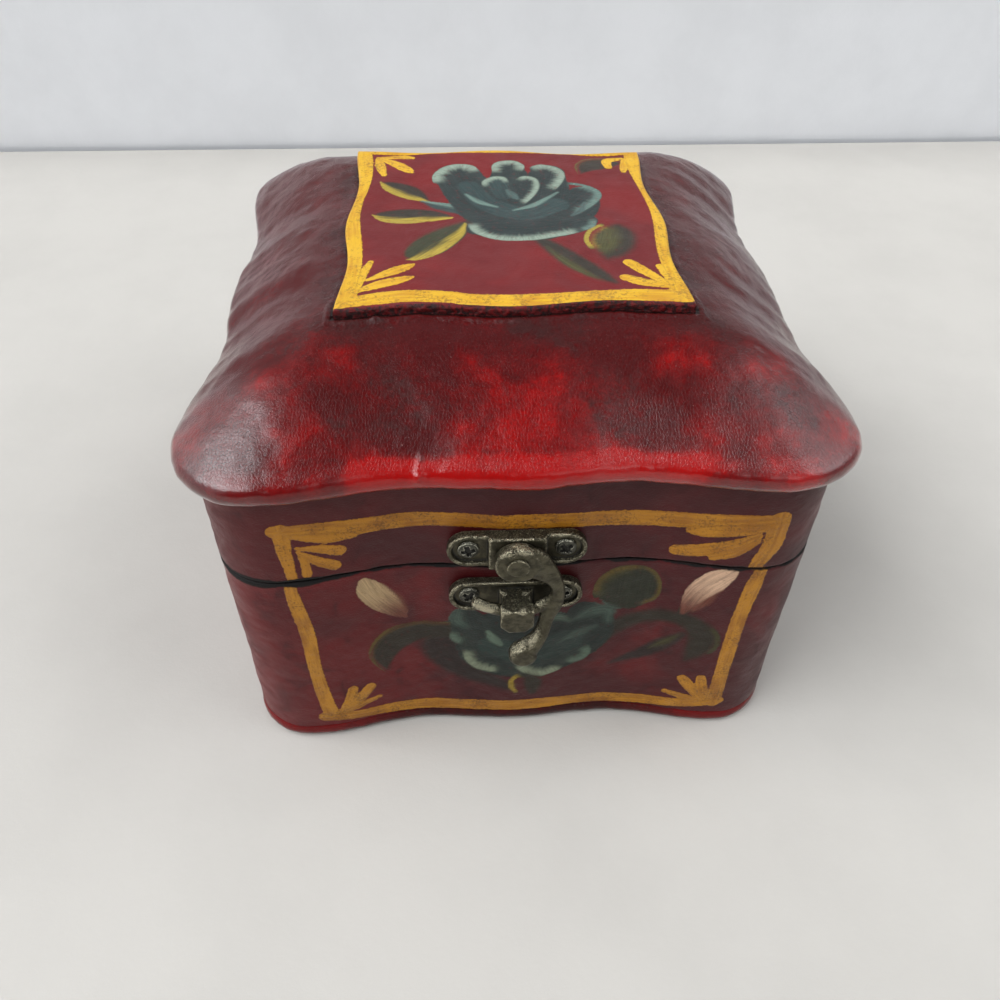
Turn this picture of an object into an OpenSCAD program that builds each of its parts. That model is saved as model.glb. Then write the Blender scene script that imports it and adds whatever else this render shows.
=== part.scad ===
// Small wooden keepsake box with serpentine sides, a pillow-shaped lid and a swing-hook latch.
// Millimetres. The origin is the centre of the base, on the table. +Z is up and the latch faces -Y.

/* [Box] */
// Width over the corner lobes of the walls
box_w = 125; // [110:1:150]
// Depth over the corner lobes of the walls
box_d = 132; // [115:1:155]
// Height of the top of the lower walls above the table
seam_h = 56.3; // [45:0.1:80]
// Radius of the four corner lobes
corner_r = 13.1; // [10:0.1:18]
// Depth of the two hollows in each side
hollow = 2.5; // [0.5:0.1:4]
// Set-back of the belly in the middle of each side
belly = 2.7; // [0.5:0.1:4]
// Thickness of the walls at the lobes
wall = 9; // [8:0.1:12]
// Thickness of the base board
base_t = 4.5; // [3:0.1:8]
// Overhang of the rounded edge of the base board
base_overhang = 0.8; // [0.2:0.1:3]
// Thickness of the felt on the floor
lining_t = 0.8; // [0.4:0.1:2]

/* [Lid] */
// Height of the lid's rails
rail_h = 21.4; // [18:0.1:30]
// Overhang of the cornice past the rails
cornice_overhang = 3.9; // [3.2:0.1:6]
// Radius of the cornice's round nose
nose_r = 3; // [2:0.1:3.6]
// Height of the nose's centre above the rails
nose_h = 4.5; // [3.8:0.1:7]
// Angle of the nose at which the dome takes over
nose_turn = 50; // [35:1:60]
// Height of the dome above the rails
dome_h = 20.7; // [18:0.1:30]
// Slope of the dome where it meets the tablet
crown_slope = 7; // [2:1:14]
// Width of the tablet over its corners
tablet_w = 70.8; // [60:0.1:80]
// Depth of the tablet over its corners
tablet_d = 72.4; // [60:0.1:85]
// Thickness of the tablet
tablet_t = 2; // [1:0.1:4]
// Corner radius of the tablet
tablet_r = 1; // [0.5:0.1:3]
// Depth of the hollows in the tablet's edges
tablet_hollow = 1.5; // [0.3:0.1:2.5]
// Bulge of the tablet's edges past its corners
tablet_bulge = 0.3; // [0:0.1:1]
// Ledge of the dome around the tablet
tablet_ledge = 0.4; // [0.2:0.1:1]
// Width of the recess inside the dome
recess_w = 86; // [70:1:92]
// Depth of the recess inside the dome
recess_d = 92; // [70:1:98]
// Height of the recess inside the dome
recess_h = 11; // [6:0.5:12]

/* [Latch] */
// Sideways place of the latch
latch_x = -0.8; // [-5:0.1:5]
// Half the spacing of the two screws in a latch plate
screw_out = 9.8; // [9.2:0.1:12]
// Radius of the round ends of the latch plates
lobe_r = 4.3; // [4:0.1:5]
// Thickness of the floor of a latch plate
plate_floor = 1.1; // [0.8:0.1:1.6]
// Height of the rim of a latch plate
rim_h = 2.1; // [1.8:0.1:2.6]
// Width of the rim of a latch plate
rim_w = 1; // [0.6:0.1:1.2]
// Height of the upper plate's centre above the lid's lower edge
plate_up = 6.4; // [5.5:0.1:9]
// Depth of the lower plate's centre below the seam
catch_down = 7; // [6:0.1:9]
// Width of the raised block that carries the hook
block_w = 11.6; // [10:0.1:12]
// Height of the raised block that carries the hook
block_h = 3.2; // [2.8:0.1:4]
// Drop of the hook's pivot below the upper plate's centre
pivot_drop = 0.7; // [0:0.1:1.5]
// Radius of the hook's boss
boss_r = 4.4; // [4:0.1:5]
// Thickness of the hook's boss
boss_t = 2.6; // [2.2:0.1:3.4]
// Thickness of the hook's arm
arm_t = 2; // [1.6:0.1:2.2]
// Radius of the outer edge of the hook's arm
arm_r = 25; // [23:0.1:27]
// Radius of the inner edge of the hook's arm
arm_inner_r = 22.8; // [21:0.1:23.2]
// Shift of the inner edge away from the post
arm_shift = 1.7; // [1.2:0.1:2.4]
// Lift of the inner edge above the outer edge's centre
arm_lift = 1.2; // [0.6:0.1:1.8]
// Angle below level at which the arm ends in the tail
tail_turn = 44; // [38:1:50]
// Radius of the round tail
tail_r = 3.1; // [2.4:0.1:3.4]
// Radius of the ball on the tail
knob_r = 2.4; // [2:0.1:2.8]
// Height of the ball's centre above the back of the hook
knob_out = 2.6; // [2.5:0.1:3.2]
// Angle from the post to the finger's tip
tip_turn = 36; // [30:1:40]
// Half the width of the finger at its root
finger_root = 1.25; // [1:0.05:1.5]
// Half the width of the finger at its tip
finger_tip = 0.6; // [0.4:0.05:0.9]
// Thickness of the finger
finger_t = 1.8; // [1.4:0.1:2]
// Drop of the finger's slot below the lower plate's centre
slot_drop = 2.7; // [2:0.1:3.2]
// Width of the catch post
post_w = 7; // [6:0.1:8]
// Height of the catch post above the slot's centre
post_up = 4.3; // [3.6:0.1:4.8]
// Height of the catch post below the slot's centre
post_down = 2.4; // [2.2:0.1:3]
// Thickness of the catch post's head
head_t = 2.4; // [1.6:0.1:3]
// Waist of the catch post on each side, behind its head
post_waist = 0.5; // [0.2:0.1:1]
// Radius of the rivet's shank
rivet_r = 1.3; // [1:0.05:1.6]
// Radius of the rivet's head
rivet_head_r = 2.3; // [2:0.1:2.8]
// Thickness of the rivet's head
rivet_head_t = 0.9; // [0.6:0.1:1.4]

/* [Hinges] */
// Distance of each hinge's middle from the end of the back
hinge_in = 16.5; // [16:0.5:22.5]
// Length of a hinge
hinge_l = 16; // [12:0.5:17]
// Depth of a hinge leaf
leaf_d = 7; // [6:0.1:7.5]
// Thickness of a hinge leaf
leaf_t = 0.8; // [0.6:0.05:1]
// Outer radius of the hinge knuckles
knuckle_r = 1.5; // [1.4:0.05:2]
// Radius of the hinge pin
pin_r = 0.6; // [0.5:0.05:0.8]

/* [Screws] */
// Radius of a latch screw's head
latch_head_r = 2; // [1.6:0.1:2.3]
// Thickness of a latch screw's head
latch_head_t = 0.8; // [0.6:0.1:1]
// Radius of a latch screw's shank
latch_shank_r = 0.9; // [0.7:0.05:1.2]
// Length of a latch screw under its head
latch_shank_l = 5; // [4:0.1:6]
// Radius of a hinge screw's head
hinge_head_r = 1.5; // [1.3:0.05:1.8]
// Radius of a hinge screw's shank
hinge_shank_r = 0.75; // [0.6:0.05:0.9]
// Length of a hinge screw
hinge_screw_l = 6; // [4:0.5:9]
// Half the spacing of the screws in a hinge leaf
hinge_screw_out = 4.6; // [3.5:0.1:5]
// Width of the slots of a screw's cross
cross_w = 0.5; // [0.3:0.05:0.7]
// Depth of the slots of a screw's cross
cross_t = 0.4; // [0.2:0.05:0.5]

/* [Clearances] */
// Gap at the seam between the lower walls and the lid
seam_gap = 0.5; // [0.3:0.1:1]
// Gap between the two leaves of a closed hinge
leaf_gap = 0.2; // [0.1:0.05:0.4]
// Radial clearance of a turning pin in its bore
running_gap = 0.05; // [0.03:0.01:0.08]
// Radial clearance of a screw or a fixed pin in its hole
fixed_gap = 0.02; // [0.01:0.01:0.05]
// Gap between parts that slide face to face
slide_gap = 0.1; // [0.05:0.05:0.2]
// Gap around the finger in the post's slot
slot_gap = 0.3; // [0.2:0.05:0.4]
// Gap around a leaf in its mortise, and of the lining to the walls
loose_gap = 0.15; // [0.1:0.05:0.4]
// Gap between the back wall and the hinge knuckles
knuckle_gap = 0.3; // [0.2:0.05:0.6]
// Gap between a latch plate and the belly of the front
seat_gap = 0.05; // [0.02:0.01:0.1]

/* [Hidden] */
$fn = 48;

// Steps of an outline: along each serpentine side, and round each corner
side_n = 24;
arc_n = 8;
// Steps of the rounded edges and of the dome, from the bottom up
nose_n = 6;
dome_n = 8;
edge_n = 6;
finger_n = 14;

// Overshoot of a cut past the faces that it goes through
past = 1;

half_w = box_w/2;
half_d = box_d/2;
rail_z = seam_h + seam_gap;
lid_z = rail_z + rail_h;
crown_z = lid_z + dome_h;

front_y = -(half_d - belly) - seat_gap;
plate_z = rail_z + plate_up;
catch_z = seam_h - catch_down;
pivot_z = plate_z - pivot_drop;
slot_z = catch_z - slot_drop;
finger_r = pivot_z - slot_z;
hook_in = block_h + slide_gap;
slot_in = hook_in - slot_gap;
slot_out = hook_in + finger_t + slot_gap;
post_out = slot_out + head_t;

hinge_out = half_w - hinge_in;
hinge_y = half_d + knuckle_gap + knuckle_r;
hinge_z = seam_h + seam_gap/2;
knuckle_l = (hinge_l - 2*slide_gap)/3;
leaf_in = leaf_gap/2;
leaf_mid_y = half_d - leaf_d/2;

// Set-back of an outline from the line over its lobes, at u = 0 to 1 along a side
function set_back(u, dip, mid) = dip*(1 - cos(720*u))/2 + mid*(1 - cos(360*u))/2;

// A point of the front side, turned to side q: 0 front, 1 right, 2 back, 3 left
function turned(p, q) =
  q == 0 ? p : q == 1 ? [-p[1], p[0]] : q == 2 ? [-p[0], -p[1]] : [p[1], -p[0]];

// Distance of side q from the centre, and half the length between its lobes
function reach(q, w, d) = q % 2 == 0 ? d : w;
function run(q, w, d, r) = (q % 2 == 0 ? w : d) - r;

// Points along the serpentine of side q, without its last point
function serpentine(q, w, d, r, dip, mid) = [
  for (i = [0:side_n - 1])
    let (u = i/side_n)
    turned([run(q, w, d, r)*(2*u - 1), set_back(u, dip, mid) - reach(q, w, d)], q)
];

// Points round the corner after side q, from angle a to angle b in steps, without the last
function corner(q, w, d, r, first, last) = [
  for (i = [first:last])
    let (t = 90*i/arc_n)
    turned([run(q, w, d, r) + r*sin(t), r - r*cos(t) - reach(q, w, d)], q)
];

// Points round the corner before side q, from the mitre to the start of the side
function corner_before(q, w, d, r) = [
  for (i = [arc_n/2:-1:1])
    let (t = 90*i/arc_n)
    turned([-run(q, w, d, r) - r*sin(t), r - r*cos(t) - reach(q, w, d)], q)
];

// Closed outline with serpentine sides, anticlockwise
function outline(w, d, r, dip, mid) = [
  for (q = [0:3])
    each concat(serpentine(q, w, d, r, dip, mid), corner(q, w, d, r, 0, arc_n - 1))
];

// Outline of one mitred wall
function wall_outline(q) = concat(
  [turned([-run(q, half_w, half_d, wall), wall - reach(q, half_w, half_d)], q)],
  corner_before(q, half_w, half_d, corner_r),
  serpentine(q, half_w, half_d, corner_r, hollow, belly),
  corner(q, half_w, half_d, corner_r, 0, arc_n/2),
  [turned([run(q, half_w, half_d, wall), wall - reach(q, half_w, half_d)], q)]
);

// Ring of points at height z
function ring(points, z) = [for (p = points) [p[0], p[1], z]];

// Outline of the walls, moved outwards by a distance
function wall_ring(out, z) =
  ring(outline(half_w + out, half_d + out, corner_r + out, hollow, belly), z);

// Outline between the cornice (k = 0) and the tablet (k = 1)
function dome_ring(k, z) =
  let (w0 = half_w + cornice_overhang, w1 = tablet_w/2 + tablet_ledge)
  let (d0 = half_d + cornice_overhang, d1 = tablet_d/2 + tablet_ledge)
  let (r0 = corner_r + cornice_overhang, r1 = tablet_r + tablet_ledge)
  ring(outline(
    w0 + (w1 - w0)*k, d0 + (d1 - d0)*k, r0 + (r1 - r0)*k,
    hollow + (tablet_hollow - hollow)*k, belly + (-tablet_bulge - belly)*k
  ), z);

// Solid through a stack of rings that all have as many points, closed round the middle
module loft(rings) {
  n = len(rings[0]);
  m = len(rings);
  middles = [for (r = [rings[0], rings[m - 1]]) [0, 0, r[0][2]]];
  sides = [
    for (j = [0:m - 2], i = [0:n - 1])
      let (a = j*n + i, b = j*n + (i + 1) % n)
      each [[a, a + n, b + n], [a, b + n, b]]
  ];
  ends = [
    for (i = [0:n - 1])
      let (next = (i + 1) % n, top = (m - 1)*n)
      each [[i, next, m*n], [top + next, top + i, m*n + 1]]
  ];
  polyhedron(concat([for (r = rings) each r], middles), concat(sides, ends));
}

// Board stood on z0, with its outline as a list of points
module board(points, z0, h) {
  translate([0, 0, z0])
    linear_extrude(h) polygon(points);
}

// Children drawn in the plane of the front, standing out from in to out before it
module on_front(in, out) {
  translate([latch_x, front_y - in, 0])
    rotate([90, 0, 0]) linear_extrude(out - in) children();
}

// Round bar that stands out of the front from in to out
module front_bar(x, z, r, in, out) {
  translate([latch_x + x, front_y - in, z])
    rotate([90, 0, 0]) cylinder(r = r, h = out - in);
}

// Plan shape of a latch plate, drawn in by a distance
module plate_shape(z, in) {
  translate([0, z])
    union() {
      square([2*screw_out, 2*(lobe_r - in)], center = true);
      for (s = [-1, 1]) translate([s*screw_out, 0]) circle(lobe_r - in);
    }
}

// Holes for the two screws of a latch plate, through the plate and into the wood
module plate_screw_holes(z, r, in, out) {
  for (s = [-1, 1]) front_bar(s*screw_out, z, r + fixed_gap, in, out);
}

// One round-headed screw with a cross, pointing into the front
module latch_screw(x, z) {
  difference() {
    union() {
      front_bar(x, z, latch_head_r, plate_floor, plate_floor + latch_head_t);
      front_bar(x, z, latch_shank_r, plate_floor - latch_shank_l, plate_floor + latch_head_t/2);
    }
    for (turn = [20, 110])
      translate([latch_x + x, front_y - plate_floor - latch_head_t, z])
        rotate([0, turn, 0])
          cube([2*latch_head_r*0.7, 2*cross_t, cross_w], center = true);
  }
}

// Pilot holes of a pair of latch screws
module latch_pilots(z) {
  plate_screw_holes(z, latch_shank_r, plate_floor - latch_shank_l - fixed_gap, past);
}

// Place of each hinge screw on one side, s = -1 left or 1 right
module at_hinge_screws(s) {
  for (e = [-1, 1])
    translate([s*hinge_out + e*hinge_screw_out, leaf_mid_y, hinge_z]) children();
}

// Countersunk hinge screw that points down from the leaf's inner face
module hinge_screw(gap) {
  translate([0, 0, -leaf_in]) {
    translate([0, 0, -leaf_t])
      cylinder(r1 = hinge_shank_r + gap, r2 = hinge_head_r + gap, h = leaf_t);
    translate([0, 0, -hinge_screw_l - gap])
      cylinder(r = hinge_shank_r + gap, h = hinge_screw_l - leaf_t/2);
  }
}

// Pocket in the wood for a hinge leaf and its screws, below the hinge line
module hinge_pocket(s) {
  translate([s*hinge_out, half_d - leaf_d - loose_gap, hinge_z - leaf_in - leaf_t])
    translate([-hinge_l/2 - loose_gap, 0, 0])
      cube([hinge_l + 2*loose_gap, leaf_d + past + loose_gap, leaf_t + past]);
  at_hinge_screws(s) hinge_screw(fixed_gap);
}

// Hinge leaf below the hinge line, with the knuckles that its list of places names
module hinge_leaf(s, knuckles, bore_gap) {
  difference() {
    union() {
      translate([s*hinge_out - hinge_l/2, half_d - leaf_d, hinge_z - leaf_in - leaf_t])
        cube([hinge_l, leaf_d, leaf_t]);
      for (k = knuckles)
        translate([s*hinge_out + k*(knuckle_l + slide_gap) - knuckle_l/2, 0, hinge_z]) {
          translate([0, half_d - past, -leaf_in - leaf_t])
            cube([knuckle_l, hinge_y - half_d + past, leaf_t]);
          translate([0, hinge_y, 0])
            rotate([0, 90, 0]) cylinder(r = knuckle_r, h = knuckle_l);
        }
    }
    translate([s*hinge_out - hinge_l, hinge_y, hinge_z])
      rotate([0, 90, 0]) cylinder(r = pin_r + bore_gap, h = 2*hinge_l);
    at_hinge_screws(s) hinge_screw(fixed_gap);
  }
}

// Children mirrored to the lid's side of the hinge line
module above_hinge_line() {
  translate([0, 0, 2*hinge_z]) mirror([0, 0, 1]) children();
}

module base_board() {
  edge_r = base_t/2;
  color("#5e0d10")
    loft([
      for (i = [0:edge_n])
        let (a = -90 + 180*i/edge_n)
        let (in = a < 0 ? edge_r : base_overhang)
        wall_ring(base_overhang - in + in*cos(a), edge_r + edge_r*sin(a))
    ]);
}

module lower_wall(q) {
  board(wall_outline(q), base_t, seam_h - base_t);
}

module front_wall() {
  color("#551b20")
    difference() {
      lower_wall(0);
      latch_pilots(catch_z);
    }
}

module right_wall() {
  color("#551b20") lower_wall(1);
}

module back_wall() {
  color("#551b20")
    difference() {
      lower_wall(2);
      for (s = [-1, 1]) hinge_pocket(s);
    }
}

module left_wall() {
  color("#551b20") lower_wall(3);
}

module floor_lining() {
  inset = wall + loose_gap;
  color("#2a0f12")
    translate([inset - half_w, inset - half_d, base_t])
      cube([box_w - 2*inset, box_d - 2*inset, lining_t]);
}

// Lower plate of the latch, cast in one with the post that the hook's finger goes through
module catch_plate() {
  post_h = post_up + post_down;
  post_mid = slot_z + (post_up - post_down)/2;
  chamfer = post_w/4;
  color("#3b3a2c")
    difference() {
      union() {
        on_front(0, plate_floor) plate_shape(catch_z, 0);
        on_front(0, rim_h)
          difference() {
            plate_shape(catch_z, 0);
            plate_shape(catch_z, rim_w);
          }
        on_front(0, rim_h)
          translate([0, post_mid]) square([post_w, post_h], center = true);
        on_front(0, slot_out)
          translate([0, post_mid]) square([post_w - 2*post_waist, post_h], center = true);
        on_front(slot_out, post_out)
          polygon([
            [-post_w/2, slot_z + post_up], [-post_w/2, slot_z - post_down + chamfer],
            [-post_w/2 + chamfer, slot_z - post_down], [post_w/2 - chamfer, slot_z - post_down],
            [post_w/2, slot_z - post_down + chamfer], [post_w/2, slot_z + post_up]
          ]);
      }
      plate_screw_holes(catch_z, latch_shank_r, -past, rim_h);
      on_front(slot_in, slot_out)
        translate([0, pivot_z])
          difference() {
            circle(finger_r + finger_root + slot_gap);
            circle(finger_r - finger_root - slot_gap);
          }
    }
}

module catch_screws() {
  color("#2f2e26")
    for (s = [-1, 1]) latch_screw(s*screw_out, catch_z);
}

module left_hinge_lower_leaf() {
  color("#8a6a35") hinge_leaf(-1, [-1, 1], fixed_gap);
}

module right_hinge_lower_leaf() {
  color("#8a6a35") hinge_leaf(1, [-1, 1], fixed_gap);
}

module hinge_pin(s) {
  color("#a88a50")
    translate([s*hinge_out - hinge_l/2, hinge_y, hinge_z])
      rotate([0, 90, 0]) cylinder(r = pin_r, h = hinge_l);
}

module left_hinge_pin() {
  hinge_pin(-1);
}

module right_hinge_pin() {
  hinge_pin(1);
}

module hinge_lower_screws() {
  color("#a88a50")
    for (s = [-1, 1]) at_hinge_screws(s) hinge_screw(0);
}

module lid_rail(q) {
  board(wall_outline(q), rail_z, rail_h);
}

module lid_front_rail() {
  color("#551b20")
    difference() {
      lid_rail(0);
      latch_pilots(plate_z);
    }
}

module lid_right_rail() {
  color("#551b20") lid_rail(1);
}

module lid_back_rail() {
  color("#551b20")
    difference() {
      lid_rail(2);
      above_hinge_line() for (s = [-1, 1]) hinge_pocket(s);
    }
}

module lid_left_rail() {
  color("#551b20") lid_rail(3);
}

// Pillow-shaped top: a round-nosed cornice that runs into a dome, hollowed below
module lid_dome() {
  out = cornice_overhang + half_w - tablet_w/2 - tablet_ledge;
  nose_x = cornice_overhang - nose_r;
  nose_z = lid_z + nose_h;
  // Start and end of the dome's curve, as run from the cornice's edge and height
  start = [nose_r - nose_r*cos(nose_turn), nose_z + nose_r*sin(nose_turn)];
  end = [out, crown_z];
  // Meeting point of the tangents at both ends
  rise = end[1] - start[1] - (end[0] - start[0])*tan(crown_slope);
  knee_x = start[0] + rise/(tan(90 - nose_turn) - tan(crown_slope));
  knee = [knee_x, start[1] + (knee_x - start[0])*tan(90 - nose_turn)];
  color("#8f1216")
    difference() {
      loft(concat(
        [wall_ring(0, lid_z)],
        [for (i = [0:nose_n])
          let (a = -90 + (90 + nose_turn)*i/nose_n)
          dome_ring((nose_r - nose_r*cos(a))/out, nose_z + nose_r*sin(a))],
        [for (i = [1:dome_n])
          let (t = i/dome_n, p = (1 - t)^2*start + 2*t*(1 - t)*knee + t^2*end)
          dome_ring(p[0]/out, p[1])]
      ));
      translate([-recess_w/2, -recess_d/2, lid_z - past])
        cube([recess_w, recess_d, recess_h + past]);
    }
}

module lid_tablet() {
  color("#7d2a33")
    board(outline(tablet_w/2, tablet_d/2, tablet_r, tablet_hollow, -tablet_bulge), crown_z, tablet_t);
}

// Upper plate of the latch, with two sunk seats and the raised block that the hook turns on
module latch_plate() {
  color("#3b3a2c")
    difference() {
      union() {
        on_front(0, plate_floor) plate_shape(plate_z, 0);
        on_front(0, rim_h)
          difference() {
            plate_shape(plate_z, 0);
            plate_shape(plate_z, rim_w);
          }
        on_front(0, block_h)
          translate([0, plate_z]) square([block_w, 2*lobe_r], center = true);
      }
      plate_screw_holes(plate_z, latch_shank_r, -past, rim_h);
      front_bar(0, pivot_z, rivet_r + fixed_gap, -past, block_h + past);
    }
}

module latch_screws() {
  color("#2f2e26")
    for (s = [-1, 1]) latch_screw(s*screw_out, plate_z);
}

module hook_rivet() {
  head_in = hook_in + boss_t - rivet_head_t/2 + slide_gap;
  color("#4a4837")
    union() {
      front_bar(0, pivot_z, rivet_r, 0, head_in + rivet_head_t/2);
      front_bar(0, pivot_z, rivet_head_r, head_in, head_in + rivet_head_t);
    }
}

module left_hinge_upper_leaf() {
  color("#8a6a35") above_hinge_line() hinge_leaf(-1, [0], running_gap);
}

module right_hinge_upper_leaf() {
  color("#8a6a35") above_hinge_line() hinge_leaf(1, [0], running_gap);
}

module hinge_upper_screws() {
  color("#a88a50")
    above_hinge_line() for (s = [-1, 1]) at_hinge_screws(s) hinge_screw(0);
}

// Swinging hook: boss, crescent arm, tail with a round knob, and the finger that passes the post
module latch_hook() {
  // Centre of the arm's outer edge, which runs smoothly off the boss
  boss_turn = 43;
  arm_c = (boss_r - arm_r)*[cos(boss_turn), sin(boss_turn)];
  tail_c = arm_c + (arm_r - tail_r)*[cos(tail_turn), -sin(tail_turn)];
  root_turn = 32;
  span = 2*arm_r;
  color("#45442f")
    difference() {
      union() {
        front_bar(0, pivot_z, boss_r, hook_in, hook_in + boss_t);
        on_front(hook_in, hook_in + arm_t)
          translate([0, pivot_z])
            difference() {
              intersection() {
                translate(arm_c) circle(arm_r, $fn = 96);
                polygon([
                  arm_c, arm_c + span*[cos(tail_turn), -sin(tail_turn)], arm_c + span*[1, 0],
                  arm_c + span*[cos(boss_turn), sin(boss_turn)]
                ]);
              }
              translate(arm_c + [-arm_shift, arm_lift]) circle(arm_inner_r, $fn = 96);
            }
        front_bar(tail_c[0], pivot_z + tail_c[1], tail_r, hook_in, hook_in + arm_t);
        translate([latch_x + tail_c[0], front_y - hook_in - knob_out, pivot_z + tail_c[1]])
          sphere(r = knob_r);
        on_front(hook_in, hook_in + finger_t)
          translate([0, pivot_z]) finger_shape(root_turn);
      }
      front_bar(0, pivot_z, rivet_r + running_gap, 0, hook_in + boss_t + past);
      front_bar(0, pivot_z, rivet_head_r + running_gap,
        hook_in + boss_t - rivet_head_t/2, hook_in + boss_t + past);
    }
}

// Horn-shaped finger that follows a circle about the hook's pivot and narrows to a round tip
module finger_shape(root_turn) {
  function at(k, side) =
    let (a = root_turn - (root_turn + tip_turn)*k)
    let (r = finger_r + side*(finger_root + (finger_tip - finger_root)*k))
    [r*sin(a), -r*cos(a)];
  polygon(concat(
    [for (i = [0:finger_n]) at(i/finger_n, 1)],
    [for (i = [finger_n:-1:0]) at(i/finger_n, -1)]
  ));
  translate([-finger_r*sin(tip_turn), -finger_r*cos(tip_turn)]) circle(finger_tip);
}

base_board();
front_wall();
right_wall();
back_wall();
left_wall();
floor_lining();
catch_plate();
catch_screws();
left_hinge_lower_leaf();
right_hinge_lower_leaf();
left_hinge_pin();
right_hinge_pin();
hinge_lower_screws();
lid_front_rail();
lid_right_rail();
lid_back_rail();
lid_left_rail();
lid_dome();
lid_tablet();
latch_plate();
latch_screws();
hook_rivet();
left_hinge_upper_leaf();
right_hinge_upper_leaf();
hinge_upper_screws();
latch_hook();
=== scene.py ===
# Painted keepsake box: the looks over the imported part. Settings are in millimetres.
import math

import bmesh
import bpy
import numpy as np
from mathutils import Matrix, Vector, noise


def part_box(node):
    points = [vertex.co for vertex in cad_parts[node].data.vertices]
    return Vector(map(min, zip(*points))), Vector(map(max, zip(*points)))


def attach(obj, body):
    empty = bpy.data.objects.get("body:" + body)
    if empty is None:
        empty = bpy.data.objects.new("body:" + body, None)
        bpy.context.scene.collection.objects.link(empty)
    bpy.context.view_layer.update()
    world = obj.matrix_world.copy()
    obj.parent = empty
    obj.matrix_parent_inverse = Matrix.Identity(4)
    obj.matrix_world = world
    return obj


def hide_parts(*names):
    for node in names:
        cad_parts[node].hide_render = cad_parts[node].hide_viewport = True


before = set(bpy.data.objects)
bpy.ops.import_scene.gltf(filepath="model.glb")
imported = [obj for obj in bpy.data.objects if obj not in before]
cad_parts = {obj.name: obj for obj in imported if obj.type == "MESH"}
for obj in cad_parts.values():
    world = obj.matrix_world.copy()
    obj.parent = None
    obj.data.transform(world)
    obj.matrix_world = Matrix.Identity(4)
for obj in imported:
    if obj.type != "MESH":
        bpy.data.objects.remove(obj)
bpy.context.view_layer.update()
scene = bpy.context.scene
mm = 0.001
# noise_vector, which moves the dome's clouds, is drawn from this seed
noise.seed_set(7)
print("frame loaded")

# Camera of the photograph
cameraSetup = {"place": (-11.19, -184.49, 190.67), "yaw": 0.057, "down": 0.760, "roll": 0.012, "lens": 31.54}


def makeCamera(setup):
    yaw, down = setup["yaw"], setup["down"]
    ahead = Vector((math.sin(yaw) * math.cos(down), math.cos(yaw) * math.cos(down), -math.sin(down)))
    right = Vector((math.cos(yaw), -math.sin(yaw), 0))
    up = right.cross(ahead)
    c, s = math.cos(setup["roll"]), math.sin(setup["roll"])
    right, up = c * right + s * up, c * up - s * right
    data = bpy.data.cameras.new("camera")
    data.lens, data.sensor_width = setup["lens"], 36
    data.clip_start, data.clip_end = 0.01, 20
    camera = bpy.data.objects.new("camera", data)
    turn = Matrix((right, up, -ahead)).transposed().to_4x4()
    camera.matrix_world = Matrix.Translation(Vector(setup["place"]) * mm) @ turn
    scene.collection.objects.link(camera)
    scene.camera = camera


makeCamera(cameraSetup)


# Node helpers: every pattern is measured in millimetres on Object coordinates
def srgb(r, g, b):
    def line(v):
        v = v / 255
        return v / 12.92 if v <= 0.04045 else ((v + 0.055) / 1.055) ** 2.4

    return (line(r), line(g), line(b), 1)


def newMaterial(name):
    material = bpy.data.materials.new(name)
    material.use_nodes = True
    tree = material.node_tree
    tree.nodes.clear()
    output = tree.nodes.new("ShaderNodeOutputMaterial")
    shader = tree.nodes.new("ShaderNodeBsdfPrincipled")
    tree.links.new(shader.outputs[0], output.inputs["Surface"])
    return material, tree, shader


def feed(tree, socket, value):
    if isinstance(value, bpy.types.NodeSocket):
        tree.links.new(value, socket)
    else:
        socket.default_value = value


def addNode(tree, kind, inputs=None, **settings):
    made = tree.nodes.new("ShaderNode" + kind)
    for key, value in settings.items():
        setattr(made, key, value)
    for key, value in (inputs or {}).items():
        feed(tree, made.inputs[key], value)
    return made


def inMillimetres(tree, stretch=(1, 1, 1), turn=(0, 0, 0)):
    spot = addNode(tree, "TexCoord").outputs["Object"]
    size = tuple(1000 * s for s in stretch)
    return addNode(tree, "Mapping", {"Vector": spot, "Scale": size, "Rotation": turn}).outputs[0]


def sampleNoise(tree, vector, scale, detail=3, rough=0.5, twist=0.0):
    inputs = {"Vector": vector, "Scale": scale, "Detail": detail, "Roughness": rough, "Distortion": twist}
    return addNode(tree, "TexNoise", inputs).outputs["Fac"]


def maths(tree, operation, a, b=0.0, c=0.0, clamp=False):
    made = addNode(tree, "Math", operation=operation, use_clamp=clamp)
    for socket, value in zip(made.inputs, (a, b, c)):
        feed(tree, socket, value)
    return made.outputs[0]


def ramp(tree, value, low, high, start=0.0, end=1.0):
    inputs = {"Value": value, "From Min": low, "From Max": high, "To Min": start, "To Max": end}
    return addNode(tree, "MapRange", inputs, interpolation_type="SMOOTHSTEP").outputs[0]


def blend(tree, share, a, b, mode="MIX"):
    made = addNode(tree, "Mix", data_type="RGBA", blend_type=mode)
    feed(tree, made.inputs[0], share)
    feed(tree, made.inputs[6], a)
    feed(tree, made.inputs[7], b)
    return made.outputs[2]


def mixValues(tree, share, a, b):
    made = addNode(tree, "Mix", data_type="FLOAT")
    for socket, value in zip((made.inputs[0], made.inputs[2], made.inputs[3]), (share, a, b)):
        feed(tree, socket, value)
    return made.outputs[0]


def bumpFrom(tree, height, depth, strength=1.0, under=None):
    inputs = {"Height": height, "Distance": depth * mm, "Strength": strength}
    if under is not None:
        inputs["Normal"] = under
    return addNode(tree, "Bump", inputs).outputs[0]


def readAttribute(tree, name, output="Fac"):
    return addNode(tree, "Attribute", attribute_name=name, attribute_type="GEOMETRY").outputs[output]


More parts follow.
